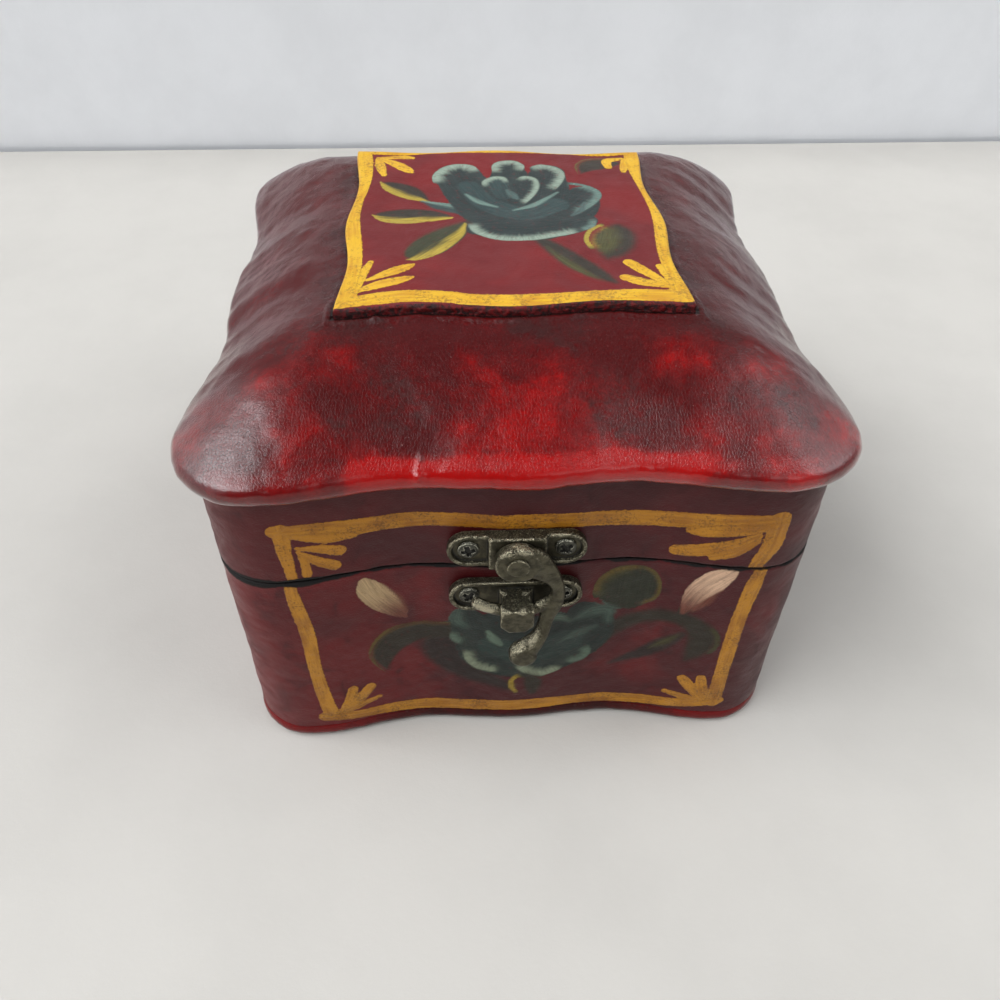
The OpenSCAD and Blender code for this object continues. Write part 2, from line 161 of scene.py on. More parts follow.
# Brushwork: a stroke is (kind, paint, second, side, points). A fill and a leaf have points
# (x, height, half width), a leaf carries its second paint on one side, and a rim is a line of
# (x, height) whose paint fades inwards over a depth. Side 1 is the left of the brush's way.
paints = {
    "slate": (46, 68, 66), "slateDeep": (36, 52, 50), "slateSoft": (80, 102, 96),
    "petal": (158, 172, 152), "petalSoft": (110, 134, 122), "olive": (56, 60, 36),
    "leafDark": (50, 46, 36), "leafDeep": (44, 34, 32), "leafYellow": (184, 156, 56),
    "oliveYellow": (112, 94, 40), "oliveSoft": (78, 76, 40), "leafShade": (46, 52, 38), "cream": (214, 184, 146), "pinkCream": (248, 208, 184),
    "blush": (128, 72, 60),
}

frontPainting = {
    "ochre": [
        [(-47.5, 71.2, 1.6), (-40, 70.4, 2), (-32, 69.6, 2.1), (-20, 69.9, 1.9), (-12, 69.8, 1.9),
         (0, 69.6, 1.9), (12, 69, 2), (23, 68.7, 2.1), (33, 68.8, 2.1), (43, 70, 2), (51, 70.2, 1.8)],
        [(-46.2, 71.4, 1.7), (-46.4, 66, 1.5), (-46.1, 62, 1.2), (-45.9, 57.6, 1.1)],
        [(-46.8, 55.8, 1.2), (-46.5, 50, 1.5), (-45.5, 40, 1.6), (-45.5, 30, 1.5), (-45.2, 20, 1.6), (-44, 8.5, 1.8)],
        [(50.5, 70.8, 2.1), (50.3, 64, 2.2), (49, 60, 1.8), (48.2, 57.6, 1.5)],
        [(49.7, 56, 1.4), (49, 50, 1.8), (48.2, 40, 1.7), (48, 30, 1.8), (48, 20, 1.7), (48, 8.5, 1.9)],
        [(-45.5, 8, 1.8), (-38, 6.6, 1.6), (-28, 6.4, 1.9), (-16, 6.3, 2.1), (-6, 6, 2.2), (6, 6.2, 2),
         (18, 6.3, 1.8), (30, 6.4, 1.9), (40, 7.2, 1.7), (49, 9, 1.6)],
        [(-44, 70, 1.2), (-38, 68.4, 1.9), (-33, 67.9, 1.2)],
        [(-43.8, 66.3, 0.5), (-39.4, 65.1, 1.1), (-36, 63.9, 1.4)],
        [(-43.8, 65.2, 0.4), (-40.4, 62, 1.2), (-37.4, 60, 1.4)],
        [(-43.8, 64.6, 0.3), (-42.9, 61.6, 0.9), (-42.9, 58.6, 1)],
        [(47.5, 69, 1.6), (41, 67.8, 2.2), (36, 66.6, 1.8), (33.8, 66.2, 0.9)],
        [(47, 66.4, 0.9), (40.6, 62.4, 1.7), (35, 60.6, 1.7), (31.8, 60.2, 1.4)],
        [(47, 65, 0.8), (43.2, 61.4, 1.4), (39.4, 59.4, 1)],
        [(-41.6, 9, 0.8), (-39.4, 13, 1.3), (-38.2, 17.2, 1.2)],
        [(-41, 9, 0.8), (-37, 13.2, 1.5), (-34.2, 16.8, 1.3)],
        [(-40.4, 8.6, 0.7), (-36, 10.8, 1), (-32.4, 12.2, 0.6)],
        [(45.4, 9, 0.8), (42, 13.6, 1.5), (39.6, 17, 1.4)],
        [(45.6, 9.4, 0.8), (44.4, 14, 1.4), (43.6, 18, 1.2)],
        [(45, 8.8, 0.7), (40, 10.2, 1.1), (36, 11.2, 0.7)],
    ],
    "flowers": [
        ("haze", "leafDeep", None, 0, [(-13, 33.5, 5.4), (-17, 30, 7), (-16, 25, 6.4), (-10, 19.2, 5.4), (-2, 14.4, 4)]),
        ("edged", "leafDark", "oliveYellow", -1,
         [(-11, 35, 2), (-17, 35.2, 2.8), (-22, 34.8, 3.6), (-27, 32.6, 4.3), (-29.8, 29, 3.8), (-30.2, 25, 2.3), (-30, 21.6, 0.7)]),
        ("haze", "leafDark", None, 0,
         [(17, 28, 3.4), (22.6, 34.4, 3.9), (28, 38.2, 3.9), (33.6, 39.2, 3.7), (38.6, 37.4, 4.2), (41.4, 33.2, 5), (40.8, 28.4, 4.2), (38, 22.4, 1)]),
        ("haze", "leafDark", None, 0, [(39.6, 36.2, 3), (41.4, 32.4, 4), (40.6, 28.4, 3)]),
        ("haze", "leafDeep", None, 0, [(37, 33.4, 2.2), (33, 29, 3.2), (28.6, 24.8, 2.9), (22, 20.4, 1.6)]),
        ("haze", "oliveSoft", None, 0, [(36.4, 33.4, 0.8), (33.6, 30.2, 1.6), (30.6, 27, 0.8)]),
        ("rim", "oliveSoft", 1.4, -1, [(42.6, 37.4), (45, 34), (45.2, 30), (43.4, 26.6)]),
        ("fill", "leafShade", None, 0, [(23.4, 50.4, 4), (23.3, 48.3, 6.4), (23.2, 45.6, 5)]),
        ("rim", "oliveSoft", 3.4, -1, [(16.4, 43.8), (16.4, 48.8), (19.4, 52.8), (24, 54.6)]),
        ("rim", "oliveYellow", 1.9, -1, [(15.8, 45.4), (17, 50.6), (20.8, 54), (26.4, 54.8)]),
        ("rim", "oliveYellow", 1.3, -1, [(25.4, 55), (28.6, 53.2), (30.5, 49.2), (30, 44.6), (26.4, 41.8)]),
        ("fill", "slateDeep", None, 0, [(-11, 39, 3.8), (-9.5, 33, 5), (-7.5, 26, 5), (2, 24.5, 6.6), (11, 28, 7), (16.5, 34, 5.4), (14.5, 39.6, 3.8)]),
        ("fill", "slateDeep", None, 0, [(-5, 38, 4), (1, 34, 6), (8, 36, 5)]),
        ("fill", "slate", None, 0, [(-6, 30, 3), (3, 27, 4), (11, 30, 4)]),
        ("haze", "slateSoft", None, 0, [(-13, 41.4, 1.8), (-13.4, 38.6, 2.6), (-11.6, 36.6, 1.6)]),
        ("haze", "slateSoft", None, 0, [(12.4, 37.4, 1.4), (16.2, 39.8, 3), (20, 40, 2.9), (20.4, 36.6, 2)]),
        ("haze", "slateSoft", None, 0, [(9, 29.6, 0.8), (13.6, 32.6, 2), (17.6, 34.4, 1.2)]),
        ("rim", "petalSoft", 3.2, 1, [(-14.6, 35), (-15, 32), (-12.6, 29.6)]),
        ("rim", "petal", 3.2, 1, [(-12.2, 28.4), (-11.8, 24.4), (-9.2, 21.2), (-4, 19.8)]),
        ("rim", "petal", 3.4, 1, [(-0.8, 22.4), (2, 19.4), (6, 17.8), (10, 19.4), (11, 21)]),
        ("rim", "petalSoft", 3.4, 1, [(10.8, 22), (14.2, 21.8), (17, 24.6), (16.4, 28.4)]),
        ("haze", "petalSoft", None, 0, [(6.6, 38.6, 0.8), (9, 39.2, 1.8), (11.6, 37.4, 0.9)]),
        ("fill", "petalSoft", None, 0, [(-6.6, 35, 0.6), (-5.4, 32.6, 1.2), (-3.8, 30.6, 0.6)]),
        ("haze", "leafDark", None, 0, [(2.6, 19, 1.6), (4, 15.4, 3.4), (4, 11.6, 2.4)]),
        ("rim", "leafYellow", 2.4, 1, [(0.6, 19.4), (-1.4, 17), (-1.6, 14), (0.2, 10.6)]),
        ("haze", "blush", None, 0, [(-29, 50.6, 1.6), (-26.4, 46.8, 2.4), (-24.6, 43, 1.6)]),
        ("fade", "cream", "blush", 0, [(-32.2, 53.2, 1.3), (-31.2, 50.2, 2.9), (-29, 46.4, 3.1), (-26.5, 42.8, 2), (-24.6, 40.4, 0.6)]),
        ("haze", "blush", None, 0, [(42.4, 49.4, 1.4), (40, 45.8, 2.4), (38, 42, 1.6)]),
        ("fade", "pinkCream", "blush", 0, [(43.8, 55, 1.5), (41.2, 52.4, 3), (38.4, 48.6, 2.7), (36.8, 44.6, 1.7), (36, 41, 0.6)]),
    ],
}

tabletPainting = {
    "ochre": [
        [(-34, 36.2, 2.2), (-33.4, 28.2, 2.4), (-33.3, 19.4, 2.2), (-34.6, 10.7, 2.2), (-35, 3.2, 2.3),
         (-34.2, -5.2, 2.3), (-33.3, -14.3, 2.3), (-33.2, -22.7, 2.4), (-33.6, -30.2, 2.6), (-34.6, -34.6, 1.6)],
        [(33.8, 36.2, 2.2), (33.4, 28.2, 2.2), (34.3, 18.2, 2.2), (35.4, 7.3, 2.3), (35, -1.8, 2.2),
         (34, -11.8, 2.4), (33.6, -21, 2.4), (33.6, -33, 2.6)],
        [(-34, 36.2, 2), (-25.5, 35.4, 1.9), (-17, 35.6, 1.9), (-9, 36.4, 2), (0, 36.8, 2.1), (8.7, 36.6, 2),
         (17, 36, 1.9), (25, 35.5, 1.9), (34, 36.2, 2)],
        [(-34.4, -33.9, 1.5), (-28, -32.2, 2.2), (-21.3, -31.2, 2.2), (-13, -31.9, 2.1), (-8.8, -33.1, 2.2),
         (-0.5, -33.7, 2.2), (7.8, -33.3, 2.1), (16, -32.7, 2.2), (24.5, -32.4, 2.2), (33.8, -33, 2.4)],
        [(-31.6, -28, 1), (-30.3, -21.8, 1), (-29.1, -17.4, 0.6)],
        [(-29.3, -24.8, 0.5), (-25.5, -22.2, 1.3), (-22.2, -20, 1.4), (-20.3, -18.8, 0.5)],
        [(-30.9, -29, 0.6), (-27.2, -26.8, 1.4), (-23, -25, 1.4), (-20.4, -24, 0.5)],
        [(24.6, -19.4, 1.3), (26.6, -22.2, 1.4), (29.2, -25.6, 1.1), (31.6, -29, 0.7)],
        [(23, -25.6, 1.3), (25.8, -27.2, 1.5), (29.4, -28.4, 1.1), (31.6, -29.3, 0.7)],
        [(30.8, -21, 0.9), (31.6, -24.3, 1.1), (32.4, -28, 0.9)],
        [(-29.8, 31.8, 0.7), (-24, 32.2, 1), (-21.4, 31.8, 0.6)],
        [(-29.2, 31.4, 0.7), (-25.4, 28.4, 1.4), (-22.6, 25.6, 1.3), (-21.4, 24.2, 0.4)],
        [(-30, 31, 0.7), (-29.2, 27.4, 1.3), (-28.2, 23, 0.7)],
        [(30.4, 32, 0.7), (26.8, 30.8, 1.3), (26.6, 27.2, 1)],
        [(31.2, 31.4, 0.8), (30.6, 27.4, 1.1), (30, 24.6, 0.7)],
    ],
    "flowers": [
        ("leaf", "leafDark", "leafYellow", -1, [(-28, 19.4, 1), (-25.5, 17.4, 2.8), (-22.2, 15.2, 3.3), (-19.6, 13, 2.4), (-17.6, 11, 1)]),
        ("leaf", "leafDark", "leafYellow", -1, [(-29.3, 4.4, 0.9), (-26.3, 3.8, 3.1), (-22.2, 3.6, 3.9), (-17.6, 3.6, 3.2), (-13.2, 3, 1.6)]),
        ("haze", "leafDark", None, 0, [(-8, 0, 3), (-12, -4.4, 4.6), (-16.4, -9, 5.2), (-19.4, -13, 3.6)]),
        ("leaf", "olive", "leafYellow", 1, [(-10.1, -1, 1.2), (-13, -5.2, 3.5), (-16.8, -9.8, 4.4), (-19.7, -13.5, 3.4), (-21.5, -15.8, 1)]),
        ("haze", "leafDark", None, 0, [(6, -7, 2.4), (9.5, -12.7, 3.6), (13.2, -18.4, 4), (17, -23.2, 3.6), (20.6, -27.4, 2)]),
        ("haze", "oliveSoft", None, 0, [(8, -12, 0.8), (11, -18, 1.8), (15, -23.4, 1.6), (18.4, -27, 0.7)]),
        ("haze", "leafDark", None, 0, [(24.6, -3.4, 3.6), (23.6, -8, 6.4), (22.4, -13, 5.8), (20.4, -17.6, 2.6)]),
        ("haze", "oliveSoft", None, 0, [(22.4, -5, 3.4), (21.2, -9.6, 4.6), (20, -14, 3)]),
        ("rim", "leafYellow", 3, 1, [(21.6, -1.2), (17.8, -4.8), (16.4, -9.6), (17.4, -14.2)]),
        ("edged", "leafDark", "oliveYellow", 1, [(19.4, 23.4, 0.8), (21.6, 27.3, 3.2), (24.9, 28.8, 3.6), (28.7, 29.4, 1.8)]),
        ("leaf", "slate", "petalSoft", 1, [(-18.8, 9.9, 0.8), (-15.5, 7.8, 2.1), (-11.3, 5.9, 2.4), (-7.2, 3.4, 1.5)]),
        ("fill", "slateDeep", None, 0, [(-10.5, 22.3, 5.6), (-7.2, 14, 6.6), (-2.2, 5.7, 7.8), (5.3, 1.8, 8.2), (13.7, 5.9, 7.4), (19, 12.8, 3.6)]),
        ("fill", "slateDeep", None, 0, [(2, 26, 3.7), (2, 14, 7)]),
        ("fill", "slateDeep", None, 0, [(11.2, 23.6, 4.3), (9.5, 14, 6.4)]),
        ("fill", "slateDeep", None, 0, [(-5.8, -3, 3.2), (3.7, -3.6, 5.2), (12, -2, 5), (18, 0, 2.6)]),
        ("fill", "slate", None, 0, [(-8, 17, 2.6), (-4, 9, 3), (4, 4, 3.4), (12, 8, 3)]),
        ("rim", "petal", 3.6, -1, [(-16.2, 18.2), (-16.5, 22.3), (-14.2, 26.4), (-10.5, 28), (-6.8, 27.2), (-5.1, 24)]),
        ("rim", "petal", 3, -1, [(-2, 23.2), (-2, 27.3), (0, 29.6), (3.7, 29.9), (5.8, 27.3), (4.9, 24)]),
        ("rim", "petal", 3, -1, [(6.6, 26.2), (9.9, 28), (13.7, 26.5), (15.3, 23.2), (14.3, 19), (12, 14.8)]),
        ("rim", "petalSoft", 3, -1, [(15.3, 19), (19.5, 17.7), (22.6, 14.8), (22.8, 11.5), (20.3, 7.3), (16.2, 3.2)]),
        ("rim", "petal", 3.2, 1, [(-8.7, -0.2), (-7.6, -4.3), (-4.7, -7.2), (-0.5, -8.8), (5.3, -8.8), (11.2, -7.2), (16.2, -5.4)]),
        ("rim", "petalSoft", 2.4, 1, [(16.2, -5.4), (19.5, -2.7), (20.3, 1.1)]),
        ("fill", "slate", None, 0, [(-1.2, 18.4, 2.6), (0, 13, 2)]),
        ("rim", "petal", 2.2, -1, [(-4.4, 16.5), (-4.6, 19.4), (-2.2, 21.7), (0.7, 21.4), (1.6, 18.6)]),
        ("rim", "petal", 2, -1, [(3.2, 20.2), (5.3, 22), (8, 21.1), (8.7, 17.7), (7.4, 13.2), (4.5, 8.2)]),
        ("fill", "petalSoft", None, 0, [(-8.8, 13.4, 0.3), (-5.9, 9.9, 0.8), (-1.7, 7.3, 0.3)]),
        ("fill", "petalSoft", None, 0, [(2, 5.7, 0.3), (7, 8.2, 0.8), (12.8, 14, 0.3)]),
        ("fill", "slateSoft", None, 0, [(1, 15.2, 0.4), (2.2, 12.8, 1.1), (3.2, 11, 0.4)]),
        ("fill", "slateSoft", None, 0, [(15, 2.6, 0.3), (17.4, 5.2, 0.8), (18.6, 9, 0.3)]),
    ],
}


def roundedLine(points, step=0.8):
    # Passes smoothly through the brush's points
    points = [np.array(p, float) for p in points]
    if len(points) < 3:
        return np.array(points)
    ends = [2 * points[0] - points[1]] + points + [2 * points[-1] - points[-2]]
    line = []
    for a, b, c, d in zip(ends, ends[1:], ends[2:], ends[3:]):
        pieces = max(1, int(math.hypot(*(c - b)[:2]) / step))
        for i in range(pieces):
            t = i / pieces
            line.append(0.5 * (2 * b + (c - a) * t + (2 * a - 5 * b + 4 * c - d) * t * t + (3 * b - a - 3 * c + d) * t ** 3))
    line.append(points[-1])
    return np.array(line)


def followLine(spots, line):
    # How deep each spot lies in the stroke, and its place along and across it
    deep, along, across = (np.full(len(spots), v) for v in (-1e3, 0.0, 0.0))
    walked = 0
    for a, b in zip(line[:-1], line[1:]):
        way = (b - a)[:2]
        length = max(math.hypot(*way), 1e-6)
        share = np.clip((spots - a[:2]) @ way / length ** 2, 0, 1)
        off = spots - a[:2] - share[:, None] * way
        width = a[2] + (b[2] - a[2]) * share if len(a) > 2 else 0
        inside = width - np.hypot(*off.T)
        nearer = inside > deep
        deep[nearer] = inside[nearer]
        along[nearer] = (walked + share * length)[nearer]
        across[nearer] = ((way[0] * off[:, 1] - way[1] * off[:, 0]) / length)[nearer]
        walked += length
    return deep, along, across, walked


def softStep(value, low, high):
    share = np.clip((value - low) / (high - low), 0, 1)
    return share * share * (3 - 2 * share)


def paintStrokes(mesh, painting, axes, allowed):
    # Lays the brushwork on the mesh as attributes that the paint's material reads
    count = len(mesh.vertices)
    places = np.zeros(count * 3)
    mesh.vertices.foreach_get("co", places)
    spots = places.reshape(-1, 3)[:, axes] / mm
    flower, ochre = np.full(count, -3.0), np.full(count, -3.0)
    tint = np.tile(np.array(srgb(*paints["slateDeep"])), (count, 1))
    brush, ochreBrush, opaque = np.zeros((count, 3)), np.zeros((count, 3)), np.zeros(count)
    for number, (kind, paint, second, side, points) in enumerate(painting["flowers"]):
        line = roundedLine(points)
        room = 4.0 + (line[:, 2].max() if kind != "rim" else second)
        near = allowed & np.all((spots > line[:, :2].min(0) - room) & (spots < line[:, :2].max(0) + room), 1)
        deep, along, across, length = followLine(spots[near], line)
        colour = np.tile(np.array(srgb(*paints[paint])), (len(deep), 1))
        if kind == "rim":
            streak = np.array([noise.noise(Vector((a * 1.6, number * 7.1, 0))) for a in along])
            inward = across * side
            cover = softStep(inward, -0.35, 0.1) * (1 - softStep(inward, 0.25 * second, second * (1 + 0.45 * streak)))
            cover *= softStep(-np.abs(along - length / 2), -length / 2 - 0.2, -length / 2 + 2.2) * (deep > -second * 1.6)
            cover *= 0.9
            edge = np.where(np.abs(inward) < second, np.minimum(inward + 0.25, second), -3)
            edge = np.where(deep > -second * 1.2, edge, -3)
            brushAcross, brushAlong = along, across
            soft = softStep(cover, 0.0, 0.5)
        else:
            cover, edge = softStep(deep, -0.3, 0.3), deep
            soft = softStep(deep, -0.1, 0.7 + 0.6 * line[:, 2].max()) if kind == "haze" else np.ones(len(deep))
            brushAcross, brushAlong = across, along
            if kind in ("leaf", "edged"):
                width = np.maximum(deep + np.abs(across), 0.4)
                bristles = np.array([0.25 * noise.noise(Vector((a * 2.2, number * 3.1, w * 0.2))) for a, w in zip(across, along)])
                start = 0.05 if kind == "leaf" else 0.5
                light = softStep(across * side / width + bristles, start, start + 0.6)[:, None]
                colour = colour * (1 - light) + np.array(srgb(*paints[second])) * light
                soft = np.maximum(softStep(deep, -0.1, 1.8), light[:, 0])
            if kind == "fade":
                light = softStep(along, 0.25 * length, 0.95 * length)[:, None]
                colour = colour * (1 - light) + np.array(srgb(*paints[second])) * light
        before = flower[near]
        fresh = (before < 0) & (edge > before) & (kind != "rim")
        share = np.where(fresh, 1, cover * (soft if kind == "haze" else 1))[:, None]
        tint[near] = tint[near] * (1 - share) + colour * share
        opaque[near] = np.where(deep > -1, np.maximum(opaque[near], soft * (cover > 0)), opaque[near])
        marked = (cover > 0.5)[:, None]
        brush[near] = np.where(marked, np.stack([brushAlong, brushAcross, np.full(len(deep), number * 3.7)], 1), brush[near])
        if kind == "rim":
            edge = np.where(cover > 0.02, np.minimum(edge, 0.6), -3)
        flower[near] = np.maximum(before, edge)
    for number, points in enumerate(painting["ochre"]):
        line = roundedLine(points)
        near = allowed & np.all((spots > line[:, :2].min(0) - 6) & (spots < line[:, :2].max(0) + 6), 1)
        deep, along, across, length = followLine(spots[near], line)
        on = (deep > ochre[near]) & (deep > -1)
        ochreBrush[near] = np.where(on[:, None], np.stack([along, across, np.full(len(deep), number * 5.3)], 1), ochreBrush[near])
        ochre[near] = np.maximum(ochre[near], deep)
    for name, values in (("flower", flower), ("ochre", ochre)):
        mesh.attributes.new(name, "FLOAT", "POINT").data.foreach_set("value", np.clip(values, -3, 3).astype(np.float32))
    tint[:, 3] = opaque
    for name, values in (("brush", brush), ("ochreBrush", ochreBrush)):
        mesh.attributes.new(name, "FLOAT_VECTOR", "POINT").data.foreach_set("vector", values.astype(np.float32).ravel())
    mesh.attributes.new("flowerTint", "FLOAT_COLOR", "POINT").data.foreach_set("color", tint.astype(np.float32).ravel())


# Materials
def leatherRelief(tree, spot, wrinkle, grain, smooth=0.0):
    # Crinkled paper skin under the lacquer
    folds = sampleNoise(tree, spot, 0.32, 4, 0.6, 0.6)
    pores = sampleNoise(tree, spot, 1.9, 5, 0.7, 0.4)
    cells = addNode(tree, "TexVoronoi", {"Vector": spot, "Scale": 1.7}, feature="DISTANCE_TO_EDGE").outputs[0]
    first = bumpFrom(tree, folds, 0.9, wrinkle)
    second = bumpFrom(tree, pores, 0.2, mixValues(tree, smooth, grain, grain * 0.12), first)
    return bumpFrom(tree, ramp(tree, cells, 0.0, 0.12), 0.05, mixValues(tree, smooth, 0.42, 0.0), second), pores


lacquerFinish = {"bright": (150, 4, 3), "middle": (98, 4, 5), "deep": (68, 5, 6), "smoke": (48, 20, 19),
                 "grimeAndShade": (26, 17, 16), "dustAndSheen": (132, 74, 70), "speck": (178, 128, 124), "shine": 0.2}


def makeLacquer(name, finish):
    # Three attributes say how deep, how dusky and how dirty the paint is; the depth and the dirt also carry painted
    # shade under the overhang, in the crease round the tablet and at the base's foot
    material, tree, shader = newMaterial(name)
    spot = inMillimetres(tree)
    broad = sampleNoise(tree, spot, 0.09, 4, 0.6, 0.8)
    cloud = sampleNoise(tree, spot, 0.2, 4, 0.65, 1.0)
    rubbed = sampleNoise(tree, spot, 0.6, 5, 0.7, 0.6)
    smooth = readAttribute(tree, "smooth")
    relief, pores = leatherRelief(tree, spot, 0.13, 0.4, smooth)
    level = maths(tree, "ADD", readAttribute(tree, "wash"), maths(tree, "MULTIPLY_ADD", broad, 1.0, -0.5))
    level = maths(tree, "ADD", level, maths(tree, "MULTIPLY_ADD", rubbed, 0.7, -0.35))
    colour = blend(tree, ramp(tree, level, -0.05, 0.55), srgb(*finish["bright"]), srgb(*finish["middle"]))
    colour = blend(tree, ramp(tree, level, 0.4, 1.0), colour, srgb(*finish["deep"]))
    dusky = maths(tree, "ADD", readAttribute(tree, "smoke"), maths(tree, "MULTIPLY_ADD", cloud, 1.0, -0.5))
    dusky = maths(tree, "ADD", dusky, maths(tree, "MULTIPLY_ADD", rubbed, 0.9, -0.45))
    colour = blend(tree, ramp(tree, dusky, 0.25, 0.95, 0.0, 0.8), colour, srgb(*finish["smoke"]))
    dirtAndShade = maths(tree, "ADD", readAttribute(tree, "grimeAndShade"), maths(tree, "MULTIPLY_ADD", pores, 0.9, -0.45))
    colour = blend(tree, ramp(tree, dirtAndShade, 0.35, 0.7, 0.0, 0.92), colour, srgb(*finish["grimeAndShade"]))
    fleck = ramp(tree, pores, 0.34, 0.6, 0.78, 1.06)
    fleck = mixValues(tree, smooth, fleck, 1.0)
    colour = blend(tree, 1.0, colour, addNode(tree, "CombineColor", {"Red": fleck, "Green": fleck, "Blue": fleck}).outputs[0], "MULTIPLY")
    # Pale dust caught in the crackle, partly painted sheen
    dustAndSheen = ramp(tree, sampleNoise(tree, spot, 2.1, 4, 0.7, 0.8), 0.54, 0.72)
    dustAndSheen = maths(tree, "MULTIPLY", dustAndSheen, ramp(tree, cloud, 0.36, 0.66, 0.02, 0.26))
    dustAndSheen = maths(tree, "MULTIPLY", dustAndSheen, mixValues(tree, smooth, 1.0, 0.0))
    colour = blend(tree, dustAndSheen, colour, srgb(*finish["dustAndSheen"]))
    # Pale specks: fine scratches and painted glints
    paleSpecksAndGlints = ramp(tree, sampleNoise(tree, spot, 3.2, 3, 0.7, 0.6), 0.66, 0.74)
    paleSpecksAndGlints = maths(tree, "MULTIPLY", paleSpecksAndGlints, ramp(tree, rubbed, 0.4, 0.6, 0.1, 0.6))
    colour = blend(tree, maths(tree, "MULTIPLY", paleSpecksAndGlints, mixValues(tree, smooth, 1.0, 0.0)), colour, srgb(*finish["speck"]))
    feed(tree, shader.inputs["Base Color"], colour)
    feed(tree, shader.inputs["Roughness"], ramp(tree, maths(tree, "ADD", cloud, dusky), 0.4, 1.4, 0.14, 0.3))
    feed(tree, shader.inputs["Normal"], relief)
    shader.inputs["Specular IOR Level"].default_value = finish["shine"]
    # Thick clear lacquer where the attribute gloss says so
    feed(tree, shader.inputs["Coat Weight"], readAttribute(tree, "gloss"))
    feed(tree, shader.inputs["Coat Normal"], relief)
    shader.inputs["Coat Roughness"].default_value = 0.16
    return material


wallFinish = {"ground": (66, 15, 18), "warm": (92, 15, 17), "deep": (44, 14, 16), "edge": (12, 9, 8), "tone": (0.6, 0.58, 0.5), "shine": 0.25,
              "ochre": (178, 122, 34), "ochreDark": (144, 92, 26), "ochreDirt": (92, 60, 26)}


def makeWallPaint(name, finish, seamHeight, seamWay):
    material, tree, shader = newMaterial(name)
    spot = inMillimetres(tree)
    relief, grain = leatherRelief(tree, spot, 0.16, 0.26)
    place = addNode(tree, "SeparateXYZ", {"Vector": spot}).outputs
    broad = sampleNoise(tree, spot, 0.05, 3, 0.55, 0.6)
    cloud = sampleNoise(tree, spot, 0.14, 4, 0.6, 0.8)
    # Painted light: the red is warmer and brighter towards the left, where more light falls
    broad = maths(tree, "ADD", broad, ramp(tree, place["X"], -50, -4, -0.16, 0.1))
    colour = blend(tree, ramp(tree, broad, 0.34, 0.62), srgb(*finish["warm"]), srgb(*finish["ground"]))
    colour = blend(tree, ramp(tree, cloud, 0.5, 0.78, 0.0, 0.7), colour, srgb(*finish["deep"]))
    colour, height = layPaint(tree, colour, finish, grain)
    # Black paint along the seam, widened towards the ends, most at the left, as painted shade of a wider gap
    gap = maths(tree, "MULTIPLY", maths(tree, "SUBTRACT", place["Z"], seamHeight), seamWay)
    ragged = maths(tree, "MULTIPLY_ADD", sampleNoise(tree, spot, 0.16, 4, 0.6), 2.4, -0.95)
    ragged = maths(tree, "ADD", ragged, ramp(tree, place["X"], -62, -24, 1.0, 0.0))
    ragged = maths(tree, "ADD", ragged, ramp(tree, place["X"], 52, 62, 0.0, 0.9 if seamWay > 0 else 0.3))
    black = ramp(tree, maths(tree, "SUBTRACT", gap, ragged), -0.2, 0.25, 1.0, 0.0)
    colour = blend(tree, black, colour, srgb(*finish["edge"]))
    feed(tree, shader.inputs["Base Color"], colour)
    feed(tree, shader.inputs["Roughness"], mixValues(tree, black, ramp(tree, cloud, 0.3, 0.7, 0.3, 0.48), 0.7))
    feed(tree, shader.inputs["Normal"], bumpFrom(tree, height, 0.16, 0.8, relief))
    shader.inputs["Specular IOR Level"].default_value = finish["shine"]
    return material


def layPaint(tree, ground, finish, grain):
    # Flowers first, then the ochre lines, both with ragged edges and bristle marks
    spot = inMillimetres(tree)
    ragged = maths(tree, "MULTIPLY_ADD", sampleNoise(tree, spot, 1.3, 3, 0.6), 0.7, -0.35)
    flower = readAttribute(tree, "flower")
    mask = ramp(tree, maths(tree, "ADD", flower, ragged), -0.18, 0.22)
    brush = addNode(tree, "Mapping", {"Vector": readAttribute(tree, "brush", "Vector"), "Scale": (0.22, 3.2, 1)}).outputs[0]
    bristle = sampleNoise(tree, brush, 1.0, 3, 0.6)
    tint = readAttribute(tree, "flowerTint", "Color")
    shade = ramp(tree, bristle, 0.3, 0.7, 0.72, 1.2)
    shades = {way: maths(tree, "MULTIPLY", shade, part) for way, part in zip(("Red", "Green", "Blue"), finish["tone"])}
    tint = blend(tree, 1.0, tint, addNode(tree, "CombineColor", shades).outputs[0], "MULTIPLY")
    thin = ramp(tree, sampleNoise(tree, spot, 0.9, 4, 0.7), 0.54, 0.74, 0.97, 0.55)
    opaque = ramp(tree, maths(tree, "ADD", readAttribute(tree, "flowerTint", "Alpha"), maths(tree, "MULTIPLY", ragged, 0.5)), 0.08, 0.9)
    colour = blend(tree, maths(tree, "MULTIPLY", maths(tree, "MULTIPLY", mask, opaque), thin), ground, tint)
    ochre = readAttribute(tree, "ochre")
    ochreMask = ramp(tree, maths(tree, "ADD", ochre, ragged), -0.1, 0.14)
    lines = addNode(tree, "Mapping", {"Vector": readAttribute(tree, "ochreBrush", "Vector"), "Scale": (0.12, 1.3, 1)}).outputs[0]
    streak = sampleNoise(tree, lines, 1.0, 4, 0.6)
    thick = maths(tree, "ADD", maths(tree, "MULTIPLY", streak, 0.5), maths(tree, "MULTIPLY", sampleNoise(tree, spot, 0.12, 3, 0.6), 0.5))
    yellow = blend(tree, ramp(tree, thick, 0.38, 0.58), srgb(*finish["ochreDark"]), srgb(*finish["ochre"]))
    dirt = ramp(tree, maths(tree, "ADD", grain, maths(tree, "MULTIPLY", sampleNoise(tree, spot, 0.2, 3), 0.5)), 0.77, 0.93, 0.0, 0.75)
    yellow = blend(tree, dirt, yellow, srgb(*finish["ochreDirt"]))
    colour = blend(tree, ochreMask, colour, yellow)
    height = maths(tree, "MULTIPLY", ochreMask, ramp(tree, streak, 0.2, 0.8, 0.6, 1.0))
    height = maths(tree, "ADD", height, maths(tree, "MULTIPLY", mask, maths(tree, "MULTIPLY", bristle, 0.35)))
    return colour, height


